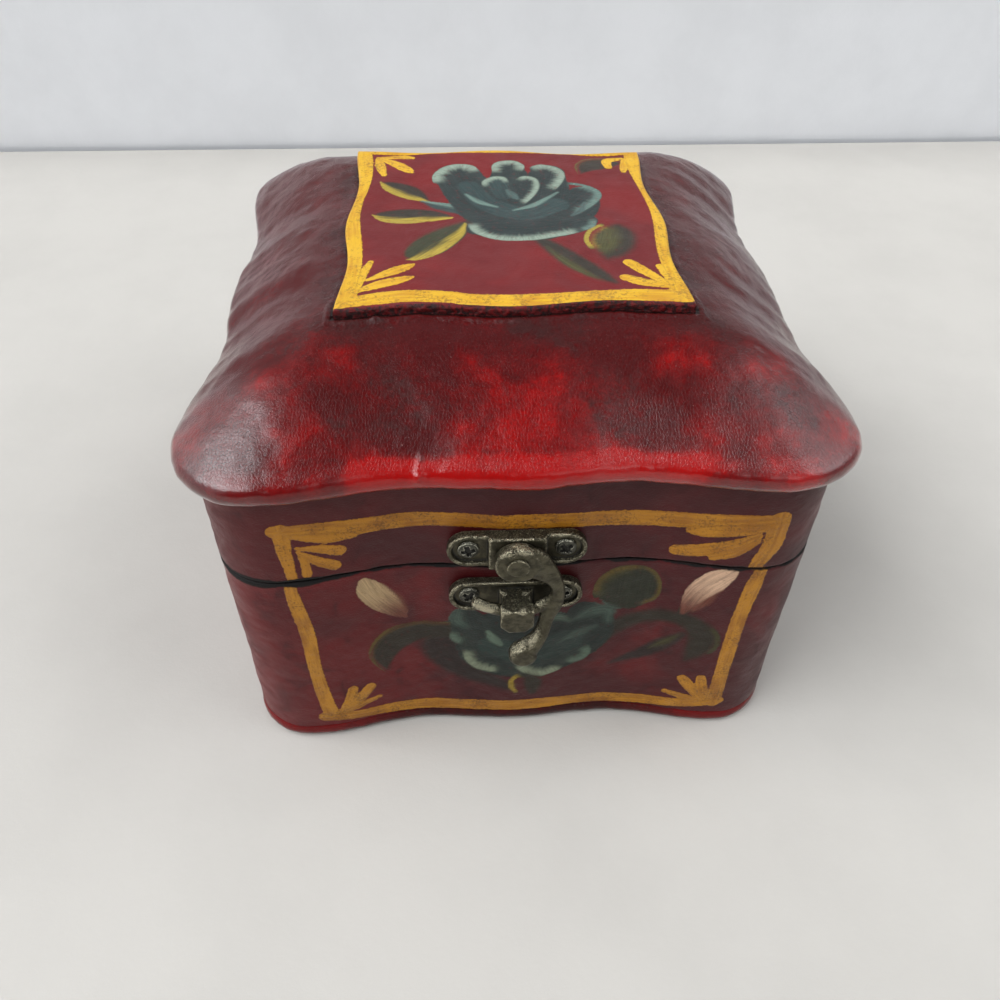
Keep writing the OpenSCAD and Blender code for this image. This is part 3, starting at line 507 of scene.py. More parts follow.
tabletFinish = {"ground": (100, 17, 20), "warm": (112, 15, 17), "deep": (62, 14, 17), "edge": (34, 12, 13), "edgeRed": (108, 15, 17), "shine": 0.3,
                "tone": (0.78, 0.83, 0.86), "ochre": (212, 166, 34), "ochreDark": (192, 138, 26), "ochreDirt": (134, 96, 34)}


def makeTabletPaint(name, finish):
    material, tree, shader = newMaterial(name)
    spot = inMillimetres(tree)
    broad = sampleNoise(tree, spot, 0.06, 3, 0.5, 0.6)
    cloud = sampleNoise(tree, spot, 0.16, 4, 0.6, 0.8)
    grain = sampleNoise(tree, spot, 1.6, 5, 0.65, 0.3)
    colour = blend(tree, ramp(tree, broad, 0.36, 0.6), srgb(*finish["warm"]), srgb(*finish["ground"]))
    colour = blend(tree, ramp(tree, cloud, 0.55, 0.8, 0.0, 0.4), colour, srgb(*finish["deep"]))
    colour, height = layPaint(tree, colour, finish, grain)
    rim = readAttribute(tree, "rim")
    rough = sampleNoise(tree, spot, 0.9, 5, 0.7, 0.4)
    dark = ramp(tree, maths(tree, "ADD", rim, maths(tree, "MULTIPLY_ADD", rough, 0.7, -0.35)), 0.35, 0.6)
    edge = blend(tree, ramp(tree, rough, 0.4, 0.62), srgb(*finish["edge"]), srgb(*finish["edgeRed"]))
    colour = blend(tree, dark, colour, edge)
    feed(tree, shader.inputs["Base Color"], colour)
    feed(tree, shader.inputs["Roughness"], ramp(tree, cloud, 0.3, 0.7, 0.4, 0.52))
    first = bumpFrom(tree, grain, 0.16, 0.5)
    second = bumpFrom(tree, rough, 0.7, ramp(tree, rim, 0.2, 0.7), first)
    feed(tree, shader.inputs["Normal"], bumpFrom(tree, height, 0.16, 0.8, second))
    shader.inputs["Specular IOR Level"].default_value = finish["shine"]
    return material


def makeBronze(name, dark, middle, bright, metal, rough):
    # The wear attribute tells ridges from hollows and carries painted highlights on ridges facing the light and at
    # listed spots; gritty tells rough cast faces from rubbed ones and places painted glints
    material, tree, shader = newMaterial(name)
    spot = inMillimetres(tree)
    wearAndHighlight, gritty = readAttribute(tree, "edgeWearAndHighlight"), readAttribute(tree, "gritty")
    grit = sampleNoise(tree, spot, 2.8, 4, 0.7)
    patch = sampleNoise(tree, spot, 0.55, 4, 0.6, 0.4)
    patchy = ramp(tree, sampleNoise(tree, spot, 0.4, 3, 0.6), 0.36, 0.56, 0.3, 1.0)
    rubAndHighlight = maths(tree, "ADD", maths(tree, "MULTIPLY", wearAndHighlight, patchy), maths(tree, "MULTIPLY_ADD", grit, 1.4, -0.7))
    colour = blend(tree, ramp(tree, patch, 0.35, 0.65), srgb(*dark), srgb(*middle))
    colour = blend(tree, ramp(tree, rubAndHighlight, 0.15, 0.8), colour, srgb(*bright))
    pits = maths(tree, "MULTIPLY", ramp(tree, grit, 0.5, 0.4), gritty)
    colour = blend(tree, maths(tree, "MULTIPLY", pits, 0.8), colour, srgb(20, 18, 12))
    glints = maths(tree, "MULTIPLY", ramp(tree, grit, 0.56, 0.66), gritty)
    colour = blend(tree, maths(tree, "MULTIPLY", glints, 0.8), colour, srgb(*bright))
    hollow = ramp(tree, maths(tree, "ADD", wearAndHighlight, maths(tree, "MULTIPLY", grit, 0.2)), -0.6, 0.0, 0.8, 0.0)
    colour = blend(tree, hollow, colour, srgb(13, 11, 8))
    feed(tree, shader.inputs["Base Color"], colour)
    feed(tree, shader.inputs["Roughness"], mixValues(tree, ramp(tree, rubAndHighlight, 0.1, 0.7), rough, rough - 0.18))
    feed(tree, shader.inputs["Metallic"], mixValues(tree, hollow, metal, 0.4))
    first = bumpFrom(tree, grit, 0.3, mixValues(tree, gritty, 0.25, 1.0))
    feed(tree, shader.inputs["Normal"], bumpFrom(tree, patch, 0.3, 0.35, first))
    return material


def makeBrass():
    material, tree, shader = newMaterial("hingeBrass")
    spot = inMillimetres(tree, (0.25, 1, 1))
    patch = sampleNoise(tree, spot, 0.4, 4, 0.6, 0.5)
    scratch = sampleNoise(tree, spot, 4, 3, 0.6)
    colour = blend(tree, ramp(tree, patch, 0.4, 0.7), srgb(176, 138, 76), srgb(112, 84, 46))
    feed(tree, shader.inputs["Base Color"], colour)
    feed(tree, shader.inputs["Roughness"], ramp(tree, scratch, 0.3, 0.7, 0.28, 0.45))
    feed(tree, shader.inputs["Normal"], bumpFrom(tree, scratch, 0.05, 0.4))
    shader.inputs["Metallic"].default_value = 0.95
    return material


def makeInnerWood():
    material, tree, shader = newMaterial("innerWood")
    spot = inMillimetres(tree, (0.35, 0.35, 2.4))
    grain = sampleNoise(tree, spot, 0.5, 5, 0.62, 0.8)
    pores = sampleNoise(tree, spot, 2.4, 3, 0.6)
    colour = blend(tree, ramp(tree, grain, 0.35, 0.68), srgb(40, 24, 20), srgb(20, 12, 11))
    feed(tree, shader.inputs["Base Color"], colour)
    feed(tree, shader.inputs["Roughness"], ramp(tree, pores, 0.3, 0.7, 0.55, 0.75))
    feed(tree, shader.inputs["Normal"], bumpFrom(tree, maths(tree, "ADD", grain, maths(tree, "MULTIPLY", pores, 0.4)), 0.2, 0.5))
    return material


def makeFelt():
    material, tree, shader = newMaterial("floorFelt")
    spot = inMillimetres(tree)
    fibre = sampleNoise(tree, inMillimetres(tree, (3, 1, 1), (0, 0, 0.6)), 1.6, 6, 0.7, 1.5)
    matted = sampleNoise(tree, spot, 0.16, 3, 0.6)
    colour = blend(tree, ramp(tree, fibre, 0.35, 0.65), srgb(58, 14, 18), srgb(92, 24, 28))
    colour = blend(tree, ramp(tree, matted, 0.5, 0.75, 0.0, 0.5), colour, srgb(44, 12, 15))
    feed(tree, shader.inputs["Base Color"], colour)
    feed(tree, shader.inputs["Normal"], bumpFrom(tree, fibre, 0.25, 0.7))
    shader.inputs["Roughness"].default_value = 0.95
    shader.inputs["Sheen Weight"].default_value = 0.4
    return material


# Serpentine outline of the box
boxShape = {"halfWidth": 62.5, "halfDepth": 66, "corner": 13.1, "hollow": 2.5, "belly": 2.7,
            "seamLow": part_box("front_wall")[1].z / mm, "seamHigh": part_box("lid_front_rail")[0].z / mm,
            "boardTop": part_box("front_wall")[0].z / mm, "railTop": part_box("lid_front_rail")[1].z / mm}


def setBack(u, dip, mid):
    return dip * (1 - np.cos(4 * np.pi * u)) / 2 + mid * (1 - np.cos(2 * np.pi * u)) / 2


def ringStations(front, side, corner):
    made = []
    for q in range(4):
        steps = front if q == 0 else side
        made += [(q, i / steps, 0) for i in range(steps)]
        made += [(q, 1, i / corner) for i in range(corner)]
    return np.array(made, float)


def outline(stations, w, d, r, dip, mid):
    q, u, turn = stations.T
    reach = np.where(q % 2 == 0, d, w)
    run = np.where(q % 2 == 0, w, d) - r
    x = run * (2 * u - 1) + r * np.sin(turn * np.pi / 2)
    y = setBack(u, dip, mid) + r * (1 - np.cos(turn * np.pi / 2)) - reach
    turned = [(x, y), (-y, x), (-x, -y), (y, -x)]
    return np.stack([np.select([q == k for k in range(4)], [t[i] for t in turned]) for i in (0, 1)], 1)


def wallRing(stations, out):
    s = boxShape
    return outline(stations, s["halfWidth"] + out, s["halfDepth"] + out, s["corner"] + out, s["hollow"], s["belly"])


def loftGrid(rings):
    # A grid whose rows are wrapped onto the rings, joined where they meet
    columns, rows = len(rings[0]), len(rings)
    bm = bmesh.new()
    bmesh.ops.create_grid(bm, x_segments=columns, y_segments=rows - 1, size=1)
    for vert in bm.verts:
        i = round((vert.co.x + 1) / 2 * columns) % columns
        j = round((vert.co.y + 1) / 2 * (rows - 1))
        vert.co = rings[j][i]
    bmesh.ops.remove_doubles(bm, verts=bm.verts, dist=0.0004)
    return bm


def atHeight(points, z):
    return np.column_stack([points, np.full(len(points), float(z))])


def crinkle(bm, amount, size, seed, allowed=lambda p: 1.0):
    # Uneven hand-laid surface, moved along the normals
    bm.normal_update()
    moves = []
    for vert in bm.verts:
        share = allowed(vert.co)
        if share:
            lift = noise.fractal(vert.co / size + Vector((seed, 0, 0)), 0.7, 2.1, 3)
            moves.append((vert, vert.normal * lift * amount * share))
    for vert, move in moves:
        vert.co += move


def finishPiece(bm, name, body, material, replaced=(), sharp=None):
    bmesh.ops.recalc_face_normals(bm, faces=bm.faces)
    bmesh.ops.scale(bm, vec=(mm, mm, mm), verts=bm.verts)
    mesh = bpy.data.meshes.new(name)
    bm.to_mesh(mesh)
    bm.free()
    mesh.shade_smooth()
    if sharp:
        mesh.set_sharp_from_angle(angle=math.radians(sharp))
    mesh.materials.append(material)
    piece = bpy.data.objects.new(name, mesh)
    scene.collection.objects.link(piece)
    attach(piece, body)
    if replaced:
        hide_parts(*replaced)
    print(name, len(mesh.vertices), "points")
    return piece


def meshPlaces(mesh):
    places = np.zeros(len(mesh.vertices) * 3)
    mesh.vertices.foreach_get("co", places)
    return places.reshape(-1, 3) / mm


def setAttribute(mesh, name, values):
    mesh.attributes.new(name, "FLOAT", "POINT").data.foreach_set("value", np.asarray(values, np.float32))


# Painted skins over the lower walls and over the lid's rails
skinSettings = {"thickness": 0.4, "rounding": 0.5, "frontSteps": 250, "sideSteps": 84, "cornerSteps": 16, "rowHeight": 0.42, "bury": 0.3}


def makeSkin(name, body, low, high, seed, material, openTop, openBottom):
    s = skinSettings
    stations = ringStations(s["frontSteps"], s["sideSteps"], s["cornerSteps"])
    t, r = s["thickness"], s["rounding"]
    rings = [atHeight(wallRing(stations, -s["bury"]), low)]
    turns = [0, 30, 60, 90]
    if openBottom:
        rings += [atHeight(wallRing(stations, t - r + r * math.sin(math.radians(a))), low + r - r * math.cos(math.radians(a))) for a in turns]
    else:
        rings += [atHeight(wallRing(stations, t), low)]
    start, end = rings[-1][0][2], high - (r if openTop else 0)
    rows = int((end - start) / s["rowHeight"])
    rings += [atHeight(wallRing(stations, t), start + (end - start) * j / rows) for j in range(1, rows + 1)]
    if openTop:
        rings += [atHeight(wallRing(stations, t - r + r * math.cos(math.radians(a))), end + r * math.sin(math.radians(a))) for a in turns[1:]]
    rings += [atHeight(wallRing(stations, -s["bury"]), high), rings[0]]
    bm = loftGrid(rings)
    crinkle(bm, 0.16, 9, seed)
    crinkle(bm, 0.05, 2.2, seed + 5)
    skin = finishPiece(bm, name, body, material, sharp=50)
    places = meshPlaces(skin.data)
    front = (places[:, 1] < -50) & (np.abs(places[:, 0]) < 55)
    paintStrokes(skin.data, frontPainting, [0, 2], front)
    return skin


wallPaint = makeWallPaint("wallPaint", wallFinish, boxShape["seamLow"], -1)
railFinish = {**wallFinish, "ground": (62, 15, 18), "warm": (76, 16, 18), "ochre": (172, 116, 30)}
railPaint = makeWallPaint("railPaint", railFinish, boxShape["seamHigh"], 1)
makeSkin("wallSkin", "box", boxShape["boardTop"] - 0.3, boxShape["seamLow"], 3, wallPaint, True, False)
makeSkin("railSkin", "lid", boxShape["seamHigh"], boxShape["railTop"] + 0.2, 9, railPaint, False, True)

# Base board with its rounded edge
baseSettings = {"overhang": 0.8, "radius": 2.25, "steps": 14}
lacquer = makeLacquer("redLacquer", lacquerFinish)
baseFinish = {**lacquerFinish, "bright": (100, 9, 11), "middle": (74, 8, 9), "deep": (46, 7, 7), "shine": 0.22}
baseLacquer = makeLacquer("baseLacquer", baseFinish)


def makeBaseBoard(settings):
    stations = ringStations(100, 100, 18)
    r, out = settings["radius"], settings["overhang"]
    rings = [atHeight(wallRing(stations, 0) * 0, 0), atHeight(wallRing(stations, out - r), 0)]
    for i in range(1, settings["steps"] + 1):
        a = math.radians(-90 + 180 * i / settings["steps"])
        inwards = r if a < 0 else out + 0.2
        rings.append(atHeight(wallRing(stations, out - inwards + inwards * math.cos(a)), r + r * math.sin(a)))
    rings.append(atHeight(wallRing(stations, 0) * 0, 2 * r))
    bm = loftGrid(rings)
    crinkle(bm, 0.16, 6, 21, lambda p: max(0.0, min(1.0, p.z / 1.2)) if p.z < 4.4 else 0.0)
    board = finishPiece(bm, "baseBoard", "box", baseLacquer, ("base_board",))
    places = meshPlaces(board.data)
    setAttribute(board.data, "wash", 0.85 - 0.8 * softStep(np.abs(places[:, 0]), 18, 44))
    setAttribute(board.data, "smooth", np.full(len(places), 0.9))
    setAttribute(board.data, "smoke", 0.1 + 0.3 * softStep(places[:, 2], 2.6, 4.2))
    # Darker at the top under the wall, and painted shade at the foot where the board stands on the table
    setAttribute(board.data, "grimeAndShade", 0.1 + 0.6 * softStep(places[:, 2], 3.8, 4.5) + 0.4 * softStep(-places[:, 2], -0.7, 0))


makeBaseBoard(baseSettings)

# Pillow-shaped top of the lid
domeSettings = {"overhang": 3.9, "nose": 3, "noseHeight": 4.5, "noseTurn": 50, "domeHeight": 20.7, "slope": 7,
                "tabletHalf": (35.4, 36.2), "ledge": 0.4, "recess": (86, 92, 11), "noseSteps": 20, "domeSteps": 82,
                "creaseAway": 1.3, "creaseHigh": 0.62, "foldHigh": 0.55, "foldApart": 7, "foldLong": 30,
                "drip": (-19.2, 0.5), "crumb": (-27.4, -36.9), "dents": [(20.5, -67, 84, 1.3)]}
# Spots (x, y, radius) where the red lies bright, where it is dusky, and where the lacquer is thick
domeWear = {
    "gloss": [(-58, -60, 17, 0.9), (50, -60, 20, 0.7), (22, -64, 12, 0.5)],
    "bright": [(-34, -47, 5), (-46, -51, 5), (-42, -62, 5), (-7.3, -47.7, 4), (-2, -54.6, 5), (-4, -62, 7),
               (-28, -66, 5), (-62.6, -55.8, 6), (6, -57.5, 8), (11, -63.5, 8), (60, -58.5, 6),
               (33, -64, 5), (46, -49.9, 6), (29, -48.5, 5), (48, -66, 6)],
    "smoke": [(-39, -51, 4), (-44.5, -42, 6), (-30.3, -38, 6), (1, -40, 4), (-33, -60.5, 5), (-19.3, -56.4, 7),
              (-24.3, -50, 6), (8, -42, 6), (16, -53, 6), (19.5, -60, 5), (38.4, -40, 6), (52, -59, 4), (51, -53, 5),
              (37, -58, 5), (-38, -22, 7), (-40, -2, 6), (-47.6, 9, 5), (43, -8, 7), (40, 14, 6), (-39, 26, 6), (38, -24, 7)],
}


def domeRing(stations, k, z):
    s, d = boxShape, domeSettings
    a = (s["halfWidth"] + d["overhang"], s["halfDepth"] + d["overhang"], s["corner"] + d["overhang"], s["hollow"], s["belly"])
    b = (d["tabletHalf"][0] + d["ledge"], d["tabletHalf"][1] + d["ledge"], 1 + d["ledge"], 1.5, -0.3)
    return atHeight(outline(stations, *[p + (q - p) * k for p, q in zip(a, b)]), z)


def besideTablet(x, y):
    # How far outside the tablet's outline a spot lies
    w, d = domeSettings["tabletHalf"]
    across = np.abs(x) - w + setBack(np.clip((y / d + 1) / 2, 0, 1), 1.5, -0.3)
    along = np.abs(y) - d + setBack(np.clip((x / w + 1) / 2, 0, 1), 1.5, -0.3)
    return np.maximum(across, along)


def relieveDome(bm, base):
    # Folds down the sides, the crease round the tablet, a drip, a crumb and a dent
    d = domeSettings
    bm.normal_update()
    moves = []
    for vert in bm.verts:
        x, y, z = vert.co
        if z < base + 1.5:
            continue
        away = float(besideTablet(x, y))
        lift = 0.0
        if away > 0.3:
            sides = softStep(abs(x), 40, 46) * (1 - softStep(abs(x), 60, 66)) * (1 - softStep(abs(y), 44, 58))
            slant = y + (0.14 if x < 0 else 0.3) * (abs(x) - 46)
            fold = noise.noise(Vector((x / d["foldLong"], slant / d["foldApart"], 5 if x < 0 else 12)))
            fine = noise.noise(Vector((x / 14, slant / 1.7, 3)))
            lift += sides * (d["foldHigh"] * fold + 0.05 * fine)
            front = 0.3 + 0.7 * softStep(-y, 24, 35)
            crease = math.exp(-((away - d["creaseAway"]) / 0.6) ** 2)
            lift += front * crease * d["creaseHigh"] * (0.8 + 0.6 * noise.noise(vert.co / 4.5))
            lift += front * (1 - softStep(away, 1.6, 4.5)) * 0.16 * noise.noise(vert.co / 0.8)
            lift += 0.7 * math.exp(-((x - d["crumb"][0]) ** 2 + (y - d["crumb"][1]) ** 2) / 0.9)
        if y < -58:
            place, high = d["drip"]
            lean = place + 0.22 * (z - 84.8)
            bead = high * (1 - softStep(abs(z - 84.8), 1.6, 2.8)) * (0.9 + 0.8 * noise.noise(vert.co / 0.9))
            lift += bead * math.exp(-((x - lean) / (0.5 + 0.1 * (86 - z))) ** 2) if z > 82 else 0
        for dx, dy, dz, size in d["dents"]:
            lift -= 0.4 * math.exp(-((x - dx) ** 2 + (y - dy) ** 2 + (z - dz) ** 2) / size ** 2)
        if lift:
            moves.append((vert, vert.normal * lift))
    for vert, move in moves:
        vert.co += move


def makeDome(settings):
    stations = ringStations(196, 120, 30)
    base = boxShape["railTop"]
    r, turn = settings["nose"], math.radians(settings["noseTurn"])
    out = settings["overhang"] + boxShape["halfWidth"] - settings["tabletHalf"][0] - settings["ledge"]
    noseZ, crown = base + settings["noseHeight"], base + settings["domeHeight"]
    start = np.array([r - r * math.cos(turn), noseZ + r * math.sin(turn)])
    end = np.array([out, crown])
    steep, slope = math.tan(math.pi / 2 - turn), math.tan(math.radians(settings["slope"]))
    kneeX = start[0] + (end[1] - start[1] - (end[0] - start[0]) * slope) / (steep - slope)
    knee = np.array([kneeX, start[1] + (kneeX - start[0]) * steep])
    w, d, h = settings["recess"]
    recess = outline(stations, w / 2, d / 2, 0.5, 0, 0)
    rings = [atHeight(recess * 0, base + h), atHeight(recess, base + h), atHeight(recess, base), atHeight(wallRing(stations, 0), base)]
    for i in range(settings["noseSteps"] + 1):
        a = -math.pi / 2 + (math.pi / 2 + turn) * i / settings["noseSteps"]
        rings.append(domeRing(stations, (r - r * math.cos(a)) / out, noseZ + r * math.sin(a)))
    for i in range(1, settings["domeSteps"] + 1):
        t = i / settings["domeSteps"]
        p = (1 - t) ** 2 * start + 2 * t * (1 - t) * knee + t ** 2 * end
        rings.append(domeRing(stations, p[0] / out, p[1]))
    rings.append(atHeight(domeRing(stations, 1, crown)[:, :2] * 0, crown))
    bm = loftGrid(rings)
    outer = lambda p: 1.0 if p.z > base + 1.7 and max(abs(p.x), abs(p.y)) > 34 else 0.0
    crinkle(bm, 0.3, 14, 31, outer)
    crinkle(bm, 0.07, 5, 37, outer)
    crinkle(bm, 0.035, 1.6, 41, outer)
    relieveDome(bm, base)
    dome = finishPiece(bm, "lidDome", "lid", lacquer, ("lid_dome",), sharp=60)
    x, y, z = meshPlaces(dome.data).T
    away = besideTablet(x, y)
    shifts = np.array([noise.noise_vector(Vector(p) / 6.5) + 0.5 * noise.noise_vector(Vector(p) / 2.6) for p in zip(x, y, z)])
    spots = {}
    for kind in ("bright", "smoke"):
        spots[kind] = np.zeros(len(x))
        for px, py, size in domeWear[kind]:
            over, along = x + 4.5 * shifts[:, 0] - px, y + 4.5 * shifts[:, 1] - py
            spots[kind] += np.exp(-((over / 1.15) ** 2 + along ** 2) / size ** 2)
    top = z > base + 2
    band = softStep(-z, -87.4, -85.4) * (y < -44)
    reach = softStep(x, -36, -24) * (1 - softStep(x, 24, 40))
    wash = 0.95 - 0.62 * np.clip(spots["bright"], 0, 1) - (0.3 + 0.65 * reach) * band * softStep(-np.abs(x), -66, -50)
    smoke = 0.45 * np.clip(spots["smoke"], 0, 1.2) + 0.35 * (1 - softStep(away, 1, 10)) - 0.5 * band
    # Painted shade: the underside of the overhang is deeper and dirtier, and the crease round the tablet is dark with
    # dirt and painted shade, most at the front
    underShade = 1 - softStep(z, base + 0.4, base + 1.8)
    grimeAndShade = 0.95 * (1 - softStep(away, 0.4, 1.1)) * (0.55 + 0.45 * softStep(-y, 20, 34)) * top + 0.25 * underShade
    sides = softStep(np.abs(x), 40, 47) * (1 - softStep(-y, 44, 56))
    lip = softStep(-z, -85.6, -84.2) * (1 - softStep(-np.abs(x), -62, -50) * (y > -40))
    setAttribute(dome.data, "smooth", np.clip(0.8 * lip + 0.7 * sides, 0, 1))
    gloss = 0.3 * band + 0.25 * lip
    for px, py, size, share in domeWear["gloss"]:
        gloss += share * softStep(-np.hypot(x - px, y - py), -size, -0.6 * size)
    setAttribute(dome.data, "gloss", np.clip(gloss, 0, 1) * top)
    setAttribute(dome.data, "wash", np.clip(wash + 0.4 * underShade, 0, 1))
    setAttribute(dome.data, "smoke", np.clip(smoke, 0, 1))
    setAttribute(dome.data, "grimeAndShade", np.clip(grimeAndShade, 0, 1))


makeDome(domeSettings)

# Painted tablet on the dome
tabletSettings = {"half": (35.4, 36.2), "hollow": 1.5, "bulge": -0.3, "rounding": 0.6, "steps": (226, 232), "lift": (1.8, 0.8)}
tabletPaint = makeTabletPaint("tabletPaint", tabletFinish)


def makeTablet(settings):
    bm = bmesh.new()
    nx, ny = settings["steps"]
    bmesh.ops.create_grid(bm, x_segments=nx, y_segments=ny, size=1)
    r = settings["rounding"]
    low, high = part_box("lid_tablet")[0].z / mm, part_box("lid_tablet")[1].z / mm

    def spread(u, v, inwards, z):
        w = settings["half"][0] - setBack((v + 1) / 2, settings["hollow"], settings["bulge"]) - inwards
        d = settings["half"][1] - setBack((u + 1) / 2, settings["hollow"], settings["bulge"]) - inwards
        return Vector((u * w, v * d, z))

    places = {}
    for vert in bm.verts:
        u, v = vert.co.x, vert.co.y
        vert.co = spread(u, v, r, high)
        places[vert.index] = (u, v)
    placeLayer = bm.verts.layers.float_vector.new("place")
    for vert in bm.verts:
        vert[placeLayer] = Vector((*places[vert.index], 0))
    edges = [e for e in bm.edges if e.is_boundary]
    downs = [(r - r * math.sin(math.radians(a)), high - r + r * math.cos(math.radians(a))) for a in (22, 45, 68, 90)]
    depth = high - r - low
    downs += [(0, high - r - depth * k / 6) for k in range(1, 7)]
    for inwards, z in downs:
        grown = bmesh.ops.extrude_edge_only(bm, edges=edges)["geom"]
        edges = [g for g in grown if isinstance(g, bmesh.types.BMEdge)]
        for vert in (g for g in grown if isinstance(g, bmesh.types.BMVert)):
            vert.co = spread(vert[placeLayer].x, vert[placeLayer].y, inwards, z)
    edges = [e for e in bm.edges if e.is_boundary]
    bmesh.ops.holes_fill(bm, edges=edges, sides=0)
    bm.verts.layers.float_vector.remove(placeLayer)
    left, right = settings["lift"]
    for vert in bm.verts:
        share = (vert.co.z - low) / (high - low) * softStep(vert.co.y, 4, 38)
        vert.co.z += share * (left + (right - left) * softStep(vert.co.x, -20, 36))
    crinkle(bm, 0.16, 16, 51, lambda p: 1.0 if p.z > high - 0.1 and abs(p.x) < 34 and abs(p.y) < 34 else 0.0)
    crinkle(bm, 0.22, 1.6, 55, lambda p: 1.0 if low + 0.1 < p.z < high - r * 0.8 else 0.0)
    tablet = finishPiece(bm, "lidTablet", "lid", tabletPaint, ("lid_tablet",), sharp=70)
    spots = meshPlaces(tablet.data)
    paintStrokes(tablet.data, tabletPainting, [0, 1], spots[:, 2] > high - r * 1.2)
    u = np.clip((spots[:, 0] / settings["half"][0] + 1) / 2, 0, 1)
    frontEdge = -(settings["half"][1] - setBack(u, settings["hollow"], settings["bulge"]))
    rim = 1 - softStep(spots[:, 1] - frontEdge, 0.2, 1.1)
    rim = np.maximum(rim, softStep(high - spots[:, 2], 0.15, 0.6))
    rim = np.where(spots[:, 1] > 35.4, 0.3 * rim, rim)
    setAttribute(tablet.data, "rim", rim)


makeTablet(tabletSettings)

# Cast latch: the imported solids, softened as castings
castSettings = {"voxel": 0.14, "passes": 6}


def addForm(bm, form):
    mesh = bpy.data.meshes.new("form")
    form.to_mesh(mesh)
    form.free()
    bm.from_mesh(mesh)
    bpy.data.meshes.remove(mesh)


def softenCast(bm, name, voxel, passes, cutter=None):
    # Joins the solids of a casting, rounds them and cuts its bore
    mesh = bpy.data.meshes.new(name + "Form")
    bm.to_mesh(mesh)
    bm.free()
    form = bpy.data.objects.new(name + "Form", mesh)
    scene.collection.objects.link(form)
    remesh = form.modifiers.new("cast", "REMESH")
    remesh.mode, remesh.voxel_size, remesh.adaptivity = "VOXEL", voxel, 0
    smooth = form.modifiers.new("soften", "SMOOTH")
    smooth.factor, smooth.iterations = 0.5, passes
    if cutter:
        bore = form.modifiers.new("bore", "BOOLEAN")
        bore.operation, bore.object, bore.solver = "DIFFERENCE", cutter, "EXACT"
    bpy.context.view_layer.update()
    cast = bpy.data.meshes.new_from_object(form.evaluated_get(bpy.context.evaluated_depsgraph_get()))
    bpy.data.objects.remove(form)
    made = bmesh.new()
    made.from_mesh(cast)
    return made


def makeCast(name, node, body, material, voxel=None, passes=None, rubbedAndHighlit=()):
    bm = bmesh.new()
    bm.from_mesh(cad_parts[node].data)
    bmesh.ops.scale(bm, vec=(1000, 1000, 1000), verts=bm.verts)
    bmesh.ops.remove_doubles(bm, verts=bm.verts, dist=0.0005)
    bm = softenCast(bm, name, voxel or castSettings["voxel"], passes or castSettings["passes"])
    setWearAndHighlight(finishPiece(bm, name, body, material, (node,)).data, rubbedAndHighlit)


def setWearAndHighlight(mesh, rubbedAndHighlit=()):
    # Ridges are positive and hollows negative against a softened copy; ridges facing the light get painted highlights,
    # and the listed spots are rubbed bright with painted highlights
    count = len(mesh.vertices)
    places = meshPlaces(mesh)
    normals = np.zeros(count * 3)
    mesh.vertices.foreach_get("normal", normals)
    normals = normals.reshape(-1, 3)
    pairs = np.zeros(len(mesh.edges) * 2, int)
    mesh.edges.foreach_get("vertices", pairs)
    pairs = pairs.reshape(-1, 2)
    ends, starts = np.concatenate([pairs[:, 0], pairs[:, 1]]), np.concatenate([pairs[:, 1], pairs[:, 0]])
    links = np.bincount(ends, minlength=count)[:, None]
    soft = places.copy()
    for _ in range(16):
        sums = np.stack([np.bincount(ends, weights=soft[starts, k], minlength=count) for k in range(3)], 1)
        soft = 0.3 * soft + 0.7 * sums / np.maximum(links, 1)
    raised = ((places - soft) * normals).sum(1)
    wearAndHighlight = np.clip(raised / 0.13, -1, 1)
    # Painted highlight: ridges facing up and to the front left, towards the light, stay brighter
    towardLight = 0.35 + 0.65 * softStep(normals @ np.array([-0.35, -0.35, 0.87]), -0.1, 0.7)
    wearAndHighlight = np.where(wearAndHighlight > 0, wearAndHighlight * towardLight, wearAndHighlight)
    for x, y, z, radius in rubbedAndHighlit:
        wearAndHighlight += 1.3 * np.exp(-((places - (x, y, z)) ** 2).sum(1) / radius ** 2)
    wearAndHighlight = np.clip(wearAndHighlight, -1, 1.3)
    setAttribute(mesh, "edgeWearAndHighlight", wearAndHighlight)
    setAttribute(mesh, "gritty", np.clip(softStep(normals[:, 2], 0.3, 0.75) + 0.7 * softStep(wearAndHighlight, 0.1, 0.6), 0, 1))


bronze = makeBronze("oldBronze", (60, 57, 46), (88, 84, 68), (172, 166, 142), 0.9, 0.42)
screwSteel = makeBronze("darkScrew", (62, 62, 56), (88, 87, 78), (170, 168, 152), 0.85, 0.38)
# Spots (x, y, z, radius) rubbed bright, painted as highlights on the post's top corners and on the hook's pad, boss and
# finger root
rubAndHighlightSpots = {"catch": [(-3.7, -66.3, 51, 0.9), (0.9, -66.3, 51, 0.7), (-3.7, -70.7, 50.7, 0.9), (0.3, -70.7, 50.7, 0.8)],
          "hook": [(-1.6, -69.6, 37.0, 1.3), (0.4, -69.6, 37.8, 1.2), (2.2, -69.4, 38.8, 1.1), (3.3, -69, 40.6, 1), (3.7, -68.6, 42.6, 0.8),
                   (-3, -68.8, 66.4, 1.1), (-1.2, -68.8, 67.0, 1.1), (0.8, -68.8, 66.8, 1.1), (3.9, -68.4, 50.2, 1)]}
makeCast("latchPlate", "latch_plate", "lid", bronze, 0.15, 28)
makeCast("catchPlate", "catch_plate", "box", bronze, 0.15, 22, rubAndHighlightSpots["catch"])
makeCast("hookRivet", "hook_rivet", "lid", bronze, 0.1)

